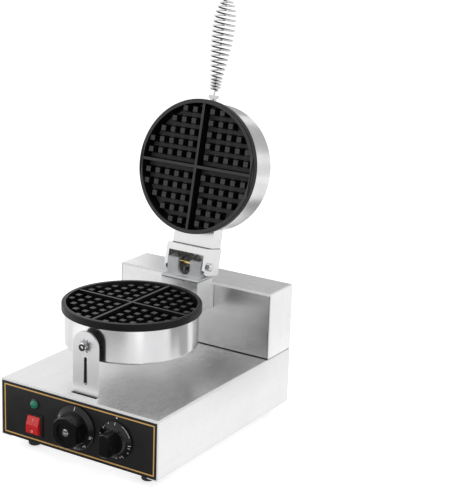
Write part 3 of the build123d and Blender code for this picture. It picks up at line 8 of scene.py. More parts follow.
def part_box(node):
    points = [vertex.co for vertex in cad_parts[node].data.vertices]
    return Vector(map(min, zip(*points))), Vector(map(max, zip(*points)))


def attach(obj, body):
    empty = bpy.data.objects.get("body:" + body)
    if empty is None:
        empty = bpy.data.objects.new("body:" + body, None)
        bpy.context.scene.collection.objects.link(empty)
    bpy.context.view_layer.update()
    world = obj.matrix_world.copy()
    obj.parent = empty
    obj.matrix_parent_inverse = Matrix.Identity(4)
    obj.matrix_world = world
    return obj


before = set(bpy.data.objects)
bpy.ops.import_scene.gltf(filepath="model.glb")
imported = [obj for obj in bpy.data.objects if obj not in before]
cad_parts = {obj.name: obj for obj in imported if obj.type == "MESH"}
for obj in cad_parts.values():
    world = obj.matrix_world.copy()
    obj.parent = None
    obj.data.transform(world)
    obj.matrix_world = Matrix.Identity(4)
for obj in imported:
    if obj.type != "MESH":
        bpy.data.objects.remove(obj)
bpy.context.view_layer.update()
bpy.ops.object.select_all(action="DESELECT")


# Camera
# It stands in front and to the right of the appliance, a little above it. Its place is
# measured from the middle of the base's lower front edge, along its own three directions.
base_low, base_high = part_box("base_cover")
azimuth = radians(31.543)
elevation = radians(16.446)
roll = radians(1.895)
back = Vector((sin(azimuth) * cos(elevation), -cos(azimuth) * cos(elevation), sin(elevation)))
level = Vector((cos(azimuth), sin(azimuth), 0))
rise = back.cross(level)
right = level * cos(roll) + rise * sin(roll)
up = rise * cos(roll) - level * sin(roll)
front_edge = Vector((0, base_low.y, base_low.z))
aside, above, distance = 0.19326, 0.26514, 1.8146
eye = front_edge + right * aside + up * above + back * distance
camera_data = bpy.data.cameras.new("camera")
camera_data.lens = 101.84
camera = bpy.data.objects.new("camera", camera_data)
camera.matrix_world = Matrix.Translation(eye) @ Matrix((right, up, back)).transposed().to_4x4()
bpy.context.collection.objects.link(camera)
bpy.context.scene.camera = camera
bpy.context.scene.view_settings.view_transform = "Standard"


class Shade:
    """One output of a shader node. Sums on it add Math nodes beside it."""

    def __init__(self, tree, socket=None):
        self.tree = tree
        self.socket = socket

    def node(self, kind, settings, sockets, output=0):
        """Adds any node: its settings first, then the values or links of its sockets."""
        made = self.tree.nodes.new("ShaderNode" + kind)
        for name, value in settings.items():
            if name == "stops":
                for place, (position, tone) in enumerate(value):
                    stops = made.color_ramp.elements
                    stop = stops[place] if place < 2 else stops.new(position)
                    stop.position = position
                    stop.color = (*tone, 1)
            else:
                setattr(made, name, value)
        for name, value in sockets.items():
            target = made.inputs[name]
            if isinstance(value, Shade):
                self.tree.links.new(value.socket, target)
            elif target.type == "RGBA" and len(value) == 3:
                target.default_value = (*value, 1)
            else:
                target.default_value = value
        return Shade(self.tree, made.outputs[output] if made.outputs else None)

    def sum(self, operation, first, second):
        return self.node("Math", {"operation": operation}, {0: first, 1: second})

    def __add__(self, other):
        return self.sum("ADD", self, other)

    __radd__ = __add__

    def __mul__(self, other):
        return self.sum("MULTIPLY", self, other)

    __rmul__ = __mul__

    def __sub__(self, other):
        return self.sum("SUBTRACT", self, other)

    def __rsub__(self, other):
        return self.sum("SUBTRACT", other, self)

    def blend(self, low, high):
        """Goes from one colour to another as this value goes from 0 to 1."""
        return self.node("Mix", {"data_type": "RGBA"}, {0: self, 6: low, 7: high}, 2)

    def between(self, low, high):
        """Goes from 0 to 1 as this value goes from low to high."""
        return self.node("MapRange", {}, {"Value": self, "From Min": low, "From Max": high})


# Studio
# A pale floor, a white surround and three soft lamps. Dark and bright cards that show only
# in reflections stand in for the rest of the room, so the bright metal gets its shades.
def lamp(name, place, aim_at, width, height, power):
    data = bpy.data.lights.new(name, "AREA")
    data.shape = "RECTANGLE"
    data.size = width
    data.size_y = height
    data.energy = power
    made = bpy.data.objects.new(name, data)
    made.location = place
    made.rotation_euler = (Vector(aim_at) - Vector(place)).to_track_quat("-Z", "Y").to_euler()
    bpy.context.collection.objects.link(made)


def settle(name):
    """Names the active object and puts its place into its mesh."""
    made = bpy.context.active_object
    bpy.ops.object.transform_apply(location=True, rotation=True, scale=True)
    made.name = name
    made.data.name = name
    made.select_set(False)
    return made


def new_material(name):
    made = bpy.data.materials.new(name)
    made.use_nodes = True
    made.node_tree.nodes.clear()
    return made, Shade(made.node_tree)


def rays(shade):
    """Whether the camera, a shiny surface or a clear one is looking."""
    kinds = ("Is Camera Ray", "Is Glossy Ray", "Is Transmission Ray")
    return [shade.node("LightPath", {}, {}, kind) for kind in kinds]


middle = (0, 0, 0.2)
lamp("key_lamp", (1.5, -1.3, 1.9), middle, 1.0, 1.0, 7)
lamp("left_lamp", (-1.9, -0.6, 1.3), middle, 0.9, 1.4, 4)
lamp("top_lamp", (-0.1, 0.5, 2.3), middle, 1.4, 1.0, 5)

world = bpy.data.worlds.new("surround")
world.use_nodes = True
world.node_tree.nodes.clear()
air = Shade(world.node_tree)
camera_ray, glossy_ray, clear_ray = rays(air)
room_light = (0.62, 0.62, 0.63)
white = (1, 1, 1)
seen = (camera_ray + glossy_ray + clear_ray).blend(room_light, white)
glow = air.node("Background", {}, {"Color": seen, "Strength": 1.0})
air.node("OutputWorld", {}, {"Surface": glow})
bpy.context.scene.world = world

floor_size, floor_level = 14, -0.0005
bpy.ops.mesh.primitive_plane_add(size=floor_size, location=(0, 0, floor_level))
floor = settle("studio_floor")
floor_paint, on_floor = new_material("floor_paint")
camera_ray, glossy_ray, clear_ray = rays(on_floor)
lift_seen, lift_mirrored = 0.62, 0.3
seen = (camera_ray + clear_ray) * lift_seen + glossy_ray * lift_mirrored
lift = on_floor.node("Emission", {}, {"Color": white, "Strength": seen})
paint = on_floor.node("BsdfDiffuse", {}, {"Color": (0.86, 0.86, 0.86)})
both = on_floor.node("AddShader", {}, {0: paint, 1: lift})
on_floor.node("OutputMaterial", {}, {"Surface": both})
floor.data.materials.append(floor_paint)


def card(name, place, faces, width, height, shade_of_grey, turned=0.0):
    """A card that only reflections see."""
    bpy.ops.mesh.primitive_plane_add(size=1, location=place)
    board = bpy.context.active_object
    board.scale = (width, height, 1)
    board.rotation_euler = (Vector(faces) - Vector(place)).to_track_quat("Z", "Y").to_euler()
    board.rotation_euler.rotate_axis("Z", turned)
    board = settle(name)
    board.visible_camera = False
    board.visible_diffuse = False
    board.visible_shadow = False
    board.visible_transmission = False
    paint, on_card = new_material(name + "_paint")
    grey = (shade_of_grey, shade_of_grey, shade_of_grey)
    on_card.node("OutputMaterial", {}, {"Surface": on_card.node("Emission", {}, {"Color": grey})})
    board.data.materials.append(paint)


def floor_card(name, x, y, width, depth, shade_of_grey, turned=0.0, level=0.0):
    """A card that lies on the floor and faces up."""
    card(name, (x, y, level), (x, y, 1), width, depth, shade_of_grey, turned)


behind_eye = eye + back * 0.5
card("room_card", tuple(behind_eye), middle, 1.0, 7.0, 0.0)
card("doorway_card", (2.1, -0.7, 1.0), middle, 0.35, 6.0, 0.0)
floor_card("walk_card", 0.8, -1.4, 0.6, 1.2, 0.03)
floor_card("table_card", -0.08, -0.285, 0.42, 0.23, 0.12)
floor_card("front_card", 0.1, -0.78, 0.44, 0.5, 0.42)
floor_card("side_card", 0.765, 0.335, 0.58, 0.57, 0.34)
floor_card("behind_card", 0.06, 0.66, 0.4, 0.44, 0.32)
floor_card("beside_card", 0.36, 0.28, 0.21, 0.22, 0.42, level=-0.0002)
card("wall_card", (0.45, 2.2, 1.1), (0.06, 0.15, 0.4), 1.1, 1.1, 0.5)
floor_card("base_side_card", 0.205, 0.12, 0.13, 0.56, 1.14)
floor_card("hood_side_card", 0.385, 0.565, 0.13, 0.5, 1.08, radians(-31.5))
floor_card("hood_left_card", -0.42, -0.38, 0.22, 0.42, 1.35)
floor_card("streak_card", 0.46, -0.485, 0.13, 0.2, 1.6)
floor_card("thin_streak_card", 0.66, -0.03, 0.2, 0.07, 1.2)
card("corner_card", (-0.18, 0.2, 0.138), (-0.18, -1.0, 0.138), 0.11, 0.1, 0.04)
card("shelf_card", (-0.43, 1.0, 0.5), (-0.1, 0.0, 0.3), 0.46, 0.5, 0.42)
card("curtain_card", tuple(behind_eye + Vector((0, 0, 1.9))), middle, 1.5, 3.4, 0.0)
floor_card("far_card", 0.78, 1.25, 0.5, 0.6, 1.15)


# Base housing
# Folded cover, floor and back in 1.2 mm stainless sheet with a fine brushed grain. Polishing
# leaves the grain along one axis, and handling leaves faint cloudy patches.
def principled(shade, sockets):
    """Ends a material in its surface."""
    shader = shade.node("BsdfPrincipled", {}, sockets)
    shade.node("OutputMaterial", {}, {"Surface": shader})


def dress(material, *names):
    """Puts one finish on CAD nodes."""
    for name in names:
        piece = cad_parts[name]
        piece.data.materials.clear()
        piece.data.materials.append(material)


def measured(shade, source, way):
    """How far a point lies, or a face looks, along a direction."""
    reading = shade.node("TexCoord", {}, {}, source)
    return shade.node("VectorMath", {"operation": "DOT_PRODUCT"}, {0: reading, 1: way}, "Value")


def noise(shade, place, scale, detail):
    """Soft uneven values from 0 to 1 over a surface."""
    return shade.node("TexNoise", {}, {"Vector": place, "Scale": scale, "Detail": detail}, "Fac")


def bump(shade, strength, distance, height):
    """Fine relief that only the light shows."""
    return shade.node("Bump", {}, {"Strength": strength, "Distance": distance, "Height": height})


def brushed_steel(
    name, grain, tone=0.74, rough=0.28, turned=(0, 0, 0), patchy=0.12, bands=None, odd=None
):
    """Stainless sheet whose polishing lines run along the axis where the grain's scale is small.
    An odd part is a mask with its own tone, roughness and share of metal."""
    made, shade = new_material(name)
    place = shade.node("TexCoord", {}, {}, "Object")
    band_to_grain = 0.024
    wide = bands or tuple(part * band_to_grain for part in grain)
    across = shade.node("Mapping", {}, {"Vector": place, "Rotation": turned, "Scale": grain})
    broad = shade.node("Mapping", {}, {"Vector": place, "Rotation": turned, "Scale": wide})
    strokes = {"Vector": across, "Scale": 1.0, "Detail": 3.0, "Roughness": 0.6}
    line = shade.node("TexNoise", {}, strokes, "Fac")
    band = noise(shade, broad, 1.0, 2.0)
    cloud = noise(shade, place, 7.5, 3.0)
    smear = noise(shade, place, 48.0, 4.0)
    brightness = (line * 0.14 + band * 0.2 + cloud * 0.5 + smear * 0.16).between(0.36, 0.64)
    low_tone = tone * (1 - patchy)
    high_tone = min(1, tone * (1 + patchy * 0.9))
    dark = (low_tone, low_tone, low_tone * 1.01)
    light = (high_tone, high_tone, high_tone)
    colour = brightness.blend(dark, light)
    uneven = (line - 0.5) * (patchy / 2) + (cloud - 0.5) * patchy
    uneven = uneven + (smear - 0.5) * (patchy / 4)
    level_rough = uneven + rough
    metal = 1.0
    if odd:
        marked_out, its_tone, its_rough, its_metal = odd
        mask = marked_out(shade)
        colour = mask.blend(colour, (its_tone, its_tone, its_tone))
        level_rough = mask * (its_rough - level_rough) + level_rough
        if its_metal < 1:
            metal = 1 - mask * (1 - its_metal)
    relief = bump(shade, 0.04, 0.00002, line)
    sockets = {"Base Color": colour, "Metallic": metal, "Roughness": level_rough, "Normal": relief}
    principled(shade, sockets)
    return made


# The polishing lines are long where the scale is coarse
coarse, fine = 20, 2600
along_x = (coarse, fine, fine)
along_y = (fine, coarse, fine)
across_y = (coarse, fine, coarse)


def cover_edge(shade):
    """The edge of the sheet round the panel, where a pale highlight is painted."""
    fades_in, full = 0.0026, 0.0016
    forward = measured(shade, "Object", (0, -1, 0))
    return forward.between(-base_low.y - fades_in, -base_low.y - full)


# The front edges get a pale, matte, barely metallic finish: a painted highlight where the folded
# edge catches the light.
edge_highlight_finish = (0.98, 0.45, 0.1)
painted_edge_highlight = (cover_edge, *edge_highlight_finish)
cover_steel = brushed_steel("cover_steel", along_y, 0.77, 0.27, patchy=0.045, odd=painted_edge_highlight)
dress(cover_steel, "base_cover", "base_floor")
back_steel = brushed_steel("back_steel", along_x, 0.72, 0.34, patchy=0.09)
dress(back_steel, "base_back")


# Feet
# Moulded rubber feet, each held by a pan head screw and a nut on the floor of the base. The
# rubber is matte and a little dusty, and the screws are bright zinc.
def moulded(name, colour, rough, grain_size=900.0, relief=0.15, coat=0.0, paleness=1.35, shine=0.5):
    """Moulded rubber or plastic: a fine pebbled skin and a slightly paler worn tone."""
    made, shade = new_material(name)
    place = shade.node("TexCoord", {}, {}, "Object")
    pebble = noise(shade, place, grain_size, 2.0)
    patch = noise(shade, place, 45.0, 3.0)
    paler = tuple(min(1, part * paleness) for part in colour)
    mottle = (patch * 0.6 + pebble * 0.4).between(0.35, 0.7)
    sockets = {
        "Base Color": mottle.blend(colour, paler),
        "Roughness": (patch - 0.5) * 0.2 + rough,
        "Normal": bump(shade, relief, 0.00008, pebble),
        "Specular IOR Level": shine,
        "Coat Weight": coat,
        "Coat Roughness": 0.15,
    }
    principled(shade, sockets)
    return made


def plated(name, colour, rough, streak=0.05):
    """Bright plated metal with a faint cloudy film and hairline scratches."""
    made, shade = new_material(name)
    place = shade.node("TexCoord", {}, {}, "Object")
    film = noise(shade, place, 120.0, 3.0)
    hair = noise(shade, place, 1600.0, 2.0)
    duller = tuple(part * 0.86 for part in colour)
    sockets = {
        "Base Color": film.between(0.3, 0.7).blend(duller, colour),
        "Metallic": 1.0,
        "Roughness": (film - 0.5) * streak * 4 + rough,
        "Normal": bump(shade, 0.1, 0.00003, hair),
    }
    principled(shade, sockets)
    return made


foot_rubber = moulded("foot_rubber", (0.018, 0.018, 0.018), 0.75, paleness=1.8)
bright_zinc = plated("bright_zinc", (0.78, 0.78, 0.79), 0.2)
dress(foot_rubber, "rubber_feet")
dress(bright_zinc, "foot_screws", "foot_nuts")


# Control panel
# Black enamelled sheet let into the front of the base, with a thin gold border line printed
# round it.
panel_black = moulded("panel_black", (0.010, 0.010, 0.0105), 0.4, 2200.0, 0.05, 0.1, 1.5)
dress(panel_black, "control_panel")


def printed(name, colour, rough=0.45, metal=0.0):
    """Screen print ink: an even film with a fine speckle."""
    made, shade = new_material(name)
    place = shade.node("TexCoord", {}, {}, "Object")
    speck = noise(shade, place, 1800.0, 2.0)
    thin = tuple(part * 0.82 for part in colour)
    sockets = {
        "Base Color": speck.between(0.3, 0.6).blend(thin, colour),
        "Roughness": (speck - 0.5) * 0.2 + rough,
        "Metallic": metal,
    }
    principled(shade, sockets)
    return made


def opened(piece, action="DESELECT"):
    """Opens a piece for editing, with all or none of it selected."""
    bpy.context.view_layer.objects.active = piece
    piece.select_set(True)
    bpy.ops.object.mode_set(mode="EDIT")
    bpy.ops.mesh.select_all(action=action)


def closed(piece):
    """Ends the editing of a piece and lets go of it."""
    bpy.ops.object.mode_set(mode="OBJECT")
    piece.select_set(False)


def hollowed(border, way):
    """Cuts the middle out of the selected face and gives its border a thickness."""
    bpy.ops.mesh.inset(thickness=border)
    bpy.ops.mesh.delete(type="FACE")
    bpy.ops.mesh.select_all(action="SELECT")
    bpy.ops.mesh.extrude_region_move(TRANSFORM_OT_translate={"value": way})
    bpy.ops.mesh.select_all(action="SELECT")
    bpy.ops.mesh.normals_make_consistent(inside=False)


panel_low, panel_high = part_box("control_panel")
line_inset = 0.0036
line_width = 0.0017
ink_lift = 0.00006
panel_centre = (panel_low + panel_high) / 2
line_length = panel_high.x - panel_low.x - 2 * line_inset
line_height = panel_high.z - panel_low.z - 2 * line_inset
line_place = (panel_centre.x, panel_low.y - ink_lift, panel_centre.z)
bpy.ops.mesh.primitive_plane_add(size=1, location=line_place, rotation=(pi / 2, 0, 0))
gold = bpy.context.active_object
gold.scale = (line_length, line_height, 1)
gold = settle("panel_gold_line")
opened(gold, "SELECT")
hollowed(line_width, (0, ink_lift, 0))
closed(gold)
gold.data.materials.append(printed("gold_ink", (0.90, 0.54, 0.17), 0.4, 0.1))
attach(gold, "housing")


# Pilot lamp
# A black moulded ring and barrel clipped into the panel, with a domed lens of clear green
# plastic pressed into its front.
switch_black = moulded("switch_black", (0.014, 0.014, 0.015), 0.35, 1500.0, 0.06, 0.15, 1.6)
dress(switch_black, "lamp_body", "switch_body")


def clear_plastic(name, deep, pale, rough):
    """Tinted clear plastic, darker in its depth, with a painted sheen that makes it paler at grazing
    angles.
    """
    made, shade = new_material(name)
    place = shade.node("TexCoord", {}, {}, "Object")
    swirl = noise(shade, place, 260.0, 2.0)
    prism = shade.node("TexVoronoi", {}, {"Vector": place, "Scale": 900.0}, "Distance")
    edge = shade.node("Fresnel", {}, {"IOR": 1.45})
    # The Fresnel term paints a sheen into the colour, paler where the surface is seen at a grazing
    # angle.
    tone = (edge * 0.8 + swirl * 0.4).between(0.1, 0.8)
    sockets = {
        "Base Color": tone.blend(deep, pale),
        "Roughness": (swirl - 0.5) * 0.1 + rough,
        "Normal": bump(shade, 0.12, 0.0002, prism),
        "Transmission Weight": 0.25,
        "Coat Weight": 0.35,
        "Coat Roughness": 0.06,
    }
    principled(shade, sockets)
    return made


lamp_green = clear_plastic("lamp_green", (0.0, 0.20, 0.12), (0.02, 0.60, 0.38), 0.12)
dress(lamp_green, "lamp_lens")


# Power switch
# Snap-in black body with a rocker of clear red plastic, which tips on its pivots. A ring for
# off and a bar for on are printed on it in white.
rocker_red = clear_plastic("rocker_red", (0.86, 0.008, 0.008), (1.0, 0.08, 0.08), 0.2)
dress(rocker_red, "power_rocker")
white_ink = printed("white_ink", (0.86, 0.86, 0.84))
ink_clearance, ink_thickness = 0.00005, 0.00004


def figures(text, size):
    """Plain printed figures as a flat mesh round their middle."""
    bpy.ops.object.text_add()
    curve = bpy.context.active_object.data
    curve.body = text
    curve.size = size
    curve.align_x = "CENTER"
    curve.align_y = "CENTER"
    curve.resolution_u = 3
    bpy.ops.object.convert(target="MESH")
    made = bpy.context.active_object
    made.select_set(False)
    return made


def stroke(width, height):
    """A printed stroke as a flat mesh round its middle, cut so that it can follow a curve."""
    bpy.ops.mesh.primitive_plane_add(size=1)
    made = bpy.context.active_object
    made.scale = (width, height, 1)
    bpy.ops.object.transform_apply(scale=True)
    bpy.ops.object.mode_set(mode="EDIT")
    bpy.ops.mesh.subdivide(number_cuts=2)
    bpy.ops.object.mode_set(mode="OBJECT")
    made.select_set(False)
    return made


def disc(radius, width=None):
    """A printed dot, or a ring where a width is given, as a flat mesh round its middle."""
    bpy.ops.mesh.primitive_circle_add(vertices=32, radius=radius, fill_type="NGON")
    made = bpy.context.active_object
    bpy.ops.object.mode_set(mode="EDIT")
    bpy.ops.mesh.select_all(action="SELECT")
    bpy.ops.mesh.inset(thickness=width or radius / 2)
    if width:
        bpy.ops.mesh.delete(type="FACE")
    bpy.ops.object.mode_set(mode="OBJECT")
    made.select_set(False)
    return made


def stand(mark, centre, turn=0.0, reach=0.0):
    """Copies a flat mark to a place before the panel: out from a centre, turned from the top."""
    beside = Vector((cos(turn), 0, -sin(turn)))
    outward = Vector((sin(turn), 0, cos(turn)))
    upright = Matrix((beside, outward, Vector((0, -1, 0)))).transposed().to_4x4()
    made = mark.copy()
    made.data = mark.data.copy()
    made.data.transform(Matrix.Translation(centre + outward * reach) @ upright)
    bpy.context.collection.objects.link(made)
    return made


def print_on(name, marks, drawn, carrier, ink, body):
    """Joins marks into one film of ink laid on the piece behind them, and clears the drawn ones."""
    for mark in drawn:
        bpy.data.objects.remove(mark)
    for mark in marks:
        mark.select_set(True)
    bpy.context.view_layer.objects.active = marks[0]
    if len(marks) > 1:
        bpy.ops.object.join()
    made = settle(name)
    bpy.context.view_layer.objects.active = made
    made.select_set(True)
    lay = made.modifiers.new("lay", "SHRINKWRAP")
    lay.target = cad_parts[carrier]
    lay.wrap_method = "PROJECT"
    lay.use_project_y = True
    lay.offset = ink_clearance
    bpy.ops.object.modifier_apply(modifier=lay.name)
    film = made.modifiers.new("film", "SOLIDIFY")
    film.thickness = ink_thickness
    film.offset = -1
    bpy.ops.object.modifier_apply(modifier=film.name)
    made.select_set(False)
    made.data.materials.clear()
    made.data.materials.append(ink)
    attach(made, body)


rocker_low, rocker_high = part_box("power_rocker")
rocker_middle = (rocker_low + rocker_high) / 2
print_width = 0.0005
off_ring = disc(0.00165, print_width)
on_bar = stroke(print_width, 0.003)
off_height, on_height = 0.0060, 0.0210
before_front = 0.001
off_place = Vector((rocker_middle.x, rocker_low.y - before_front, rocker_low.z + off_height))
on_place = Vector((rocker_middle.x, rocker_low.y - before_front, rocker_low.z + on_height))
marks = [stand(off_ring, off_place), stand(on_bar, on_place)]
drawn = [off_ring, on_bar]
print_on("rocker_marks", marks, drawn, "power_rocker", white_ink, "rocker")


# Thermostat dial
# Satin black moulded knob on a sloping skirt. The skirt carries a white pointer line and
# the temperatures, 50 to 300, printed round it, and a bright cap closes its middle.
knob_black = moulded(
    "knob_black", (0.004, 0.004, 0.0045), 0.22, 1300.0, 0.06, paleness=1.8, shine=0.38
)
dress(knob_black, "thermostat_knob", "timer_knob")
dress(bright_zinc, "thermostat_cap", "thermostat_shaft", "timer_shaft")


def front_of(knob):
    """The point before the middle of a knob, off its front."""
    low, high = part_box(knob)
    turned_on = (low + high) / 2
    return Vector((turned_on.x, low.y - before_front, turned_on.z))


thermostat_front = front_of("thermostat_knob")
pointer = stroke(0.0009, 0.0046)
long_tick = stroke(0.00045, 0.0017)
short_tick = stroke(0.0003, 0.001)
drawn = [pointer, long_tick, short_tick]
pointer_reach, number_reach, long_reach, short_reach = 0.0266, 0.0260, 0.0287, 0.0290
marks = [stand(pointer, thermostat_front, 0.0, pointer_reach)]
first_turn = radians(-67.5)
turn_per_degree = radians(-37.5) / 50
number_size = 0.0034
for heat in range(50, 301, 10):
    turn = first_turn + (heat - 50) * turn_per_degree
    if heat % 50 == 0:
        marks.append(stand(long_tick, thermostat_front, turn, long_reach))
        number = figures(str(heat), number_size)
        drawn.append(number)
        marks.append(stand(number, thermostat_front, turn, number_reach))
    else:
        marks.append(stand(short_tick, thermostat_front, turn, short_reach))
carrier, body = "thermostat_knob", "thermostat_dial"
print_on("thermostat_marks", marks, drawn, carrier, white_ink, body)


# Timer dial
# Moulded bar knob on a smaller skirt, with minutes 0 to 5 printed round it and an arc that
# shows which way it is wound. The dot that it is read against is printed on the panel.
timer_front = front_of("timer_knob")
minute_tick = stroke(0.00075, 0.0034)
half_tick = stroke(0.00075, 0.0019)
arc_piece = stroke(0.0015, 0.00035)
drawn = [minute_tick, half_tick, arc_piece]
minute_reach, half_reach, number_reach, arc_reach = 0.0226, 0.0234, 0.0224, 0.0236
number_size = 0.0036
minute_turn = radians(-53)
beside_tick = radians(9)
marks = []
for half in range(11):
    turn = minute_turn * half / 2
    whole = half % 2 == 0
    tick, reach = (minute_tick, minute_reach) if whole else (half_tick, half_reach)
    marks.append(stand(tick, timer_front, turn, reach))
    if whole and half > 0:
        number = figures(str(half // 2), number_size)
        drawn.append(number)
        marks.append(stand(number, timer_front, turn + beside_tick, number_reach))
arc_start, arc_step, arc_pieces = 28, 3.6, 12
for step in range(arc_pieces):
    turn = radians(arc_start + arc_step * step)
    marks.append(stand(arc_piece, timer_front, turn, arc_reach))
print_on("timer_marks", marks, drawn, "timer_knob", white_ink, "timer_dial")

dot_radius, dot_aside, dot_above = 0.0012, 0.0003, 0.0294
index_dot = disc(dot_radius)
dot_place = timer_front + Vector((dot_aside, 0, dot_above))
marks = [stand(index_dot, dot_place)]
print_on("timer_index_dot", marks, [index_dot], "control_panel", white_ink, "housing")
dress(moulded("control_housing", (0.05, 0.045, 0.04), 0.5), "thermostat_body", "timer_body")


# Front stay
# Slotted upright strap of 2.5 mm stainless, with a cap screw, star washer and spacer that
# hold the front of the drum. Its face towards the drum and its foot inside the base carry painted
# shade.
def left_dark(shade):
    """The face towards the drum, and what stands inside the base, which carry painted shade."""
    back_face = measured(shade, "Normal", (0, 1, 0)).between(0.6, 0.8)
    fades_in, full = 0.0002, 0.0008
    downward = measured(shade, "Object", (0, 0, -1))
    inside = downward.between(fades_in - base_high.z, full - base_high.z)
    return shade.node("Math", {"operation": "MAXIMUM"}, {0: back_face, 1: inside})


along_z = (fine, fine, coarse)
# Painted shade: the back face and the foot inside the base are made nearly black.
painted_shade_back = (left_dark, 0.08, 0.55, 1.0)
strap_steel = brushed_steel("strap_steel", along_z, 0.84, 0.4, patchy=0.05, odd=painted_shade_back)
dress(strap_steel, "front_stay")
dress(bright_zinc, "stay_bolt", "stay_nut", "stay_spacer")
dress(plated("washer_zinc", (0.46, 0.46, 0.47), 0.3), "star_washer")


# Slot liner
# A bright steel guide pressed into the slot of the strap, level with its front, which leaves
# a narrow opening with rounded ends.
def pick(parts, piece, wanted):
    """Selects the edges or faces of an opened piece that a test picks, and nothing else."""
    bpy.ops.mesh.select_all(action="DESELECT")
    loose = bmesh.from_edit_mesh(piece.data)
    for part in getattr(loose, parts):
        if wanted(part):
            part.select_set(True)
    bmesh.update_edit_mesh(piece.data)


def upright_slip(name, front, thickness, low, high, width, end_radius, segments):
    """An upright slip of sheet with round ends, left open for editing."""
    centre = (0, front + thickness / 2, (low + high) / 2)
    bpy.ops.mesh.primitive_cube_add(size=1, location=centre)
    made = bpy.context.active_object
    made.scale = (width, thickness, high - low)
    made = settle(name)
    opened(made)
    pick("edges", made, lambda edge: abs(edge.verts[0].co.y - edge.verts[1].co.y) > thickness / 2)
    bpy.ops.mesh.bevel(offset=end_radius, segments=segments, affect="EDGES")
    return made


stay_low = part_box("front_stay")[0]
bolt_low, bolt_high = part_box("stay_bolt")
bolt_height = (bolt_low.z + bolt_high.z) / 2
strap_thickness, liner_setback, press_fit = 0.0025, 0.0001, 0.00003
slot_over_base, slot_under_bolt = 0.0130, 0.0120
strap_back = stay_low.y + strap_thickness
liner_front = stay_low.y + liner_setback
liner_low = base_high.z + slot_over_base + press_fit
liner_high = bolt_height - slot_under_bolt - press_fit
liner_width, liner_wall = 0.00644, 0.0010
liner_radius = liner_width / 2 - 0.00004
liner_depth = strap_back - liner_front
liner_steps = 8
liner = upright_slip(
    "slot_liner", liner_front, liner_depth, liner_low, liner_high, liner_width, liner_radius,
    liner_steps,
)
pick("faces", liner, lambda face: abs(face.normal.y) > 0.9)
bpy.ops.mesh.inset(thickness=liner_wall)
bpy.ops.transform.resize(value=(1, 1, 0.9))
bpy.ops.mesh.bridge_edge_loops()
bpy.ops.object.mode_set(mode="OBJECT")
bpy.ops.object.shade_smooth_by_angle(angle=radians(30))
liner.select_set(False)
liner.data.materials.append(bright_zinc)
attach(liner, "housing")


# Slot shade sheet
# A thin black strip behind the strap, over its slot, so that the slot shows dark: painted
# shade standing in for the shadow behind it. Its ends are rounded like the slot's.
strip_width, strip_thickness, strip_radius = 0.0105, 0.0008, 0.0048
strip_over_base, strip_under_bolt = 0.0100, 0.0090
strip_front = strap_back + press_fit
strip_low = base_high.z + strip_over_base
strip_high = bolt_height - strip_under_bolt
strip_steps = 6
strip = upright_slip(
    "slot_shade_sheet", strip_front, strip_thickness, strip_low, strip_high, strip_width, strip_radius,
    strip_steps,
)
closed(strip)
# A black sheet put where there is only shade: painted shade in the slot.
strip.data.materials.append(moulded("slot_shade_black", (0.008, 0.008, 0.008), 0.8, 500.0, 0.3, paleness=1.4))
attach(strip, "housing")


# Nut shade ring
# A black ring set in the lock nut on the stay, round the end of the bolt: painted shade for
# the dark gap between the nut and the end of the bolt.
ring_stands_out = 0.0004
ring_front = bolt_low.y - ring_stands_out
ring_radius, ring_wall, ring_depth = 0.0046, 0.0021, 0.0012
bpy.ops.mesh.primitive_circle_add(
    vertices=32, radius=ring_radius, location=(0, ring_front, bolt_height), rotation=(pi / 2, 0, 0)
)
ring = settle("nut_shade_ring")
opened(ring, "SELECT")
bpy.ops.mesh.edge_face_add()
hollowed(ring_wall, (0, ring_depth, 0))
closed(ring)
# A dark ring put where there is only shade: painted shade round the bolt's end.
ring.data.materials.append(moulded("ring_shade_black", (0.006, 0.006, 0.006), 0.4, 900.0, 0.05, paleness=1.4))
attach(ring, "housing")


# Slot lip
# The strap's slot is cut wide so that the strap can be hooked in. A small lip of the same
# sheet is then pressed back towards it, which leaves a narrow dark gap before the strap.
gap, lip_reach = 0.0038, 0.0069
lip_width, lip_sheet, lip_rounding = 0.0405, 0.0011, 0.0006
lip_front = stay_low.y - lip_reach
lip_back = stay_low.y - gap
lip_top = base_high.z - 0.00002
lip_place = (0, (lip_front + lip_back) / 2, lip_top - lip_sheet / 2)
bpy.ops.mesh.primitive_cube_add(size=1, location=lip_place)
lip = bpy.context.active_object
lip.scale = (lip_width, lip_back - lip_front, lip_sheet)
lip = settle("slot_lip")


def facing_strap(edge):
    """The upper edge of the lip that faces the strap."""
    centre = (edge.verts[0].co + edge.verts[1].co) / 2
    return centre.y > lip_back - 0.0001 and centre.z > lip_top - 0.0001


opened(lip)
pick("edges", lip, facing_strap)
bpy.ops.mesh.bevel(offset=lip_rounding, segments=4, affect="EDGES")
closed(lip)
lip.data.materials.append(cover_steel)
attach(lip, "housing")


# Lower baking drum
# Deep-drawn stainless drum, polished round its wall, with the cast plate set in its mouth
# and the element, press plate and mineral wool inside.
round_wall = (coarse, coarse, fine)
wall_bands = (38, 38, 1)
lower_steel = brushed_steel("lower_drum_steel", round_wall, 0.76, 0.2, bands=wall_bands)
dress(lower_steel, "lower_drum")


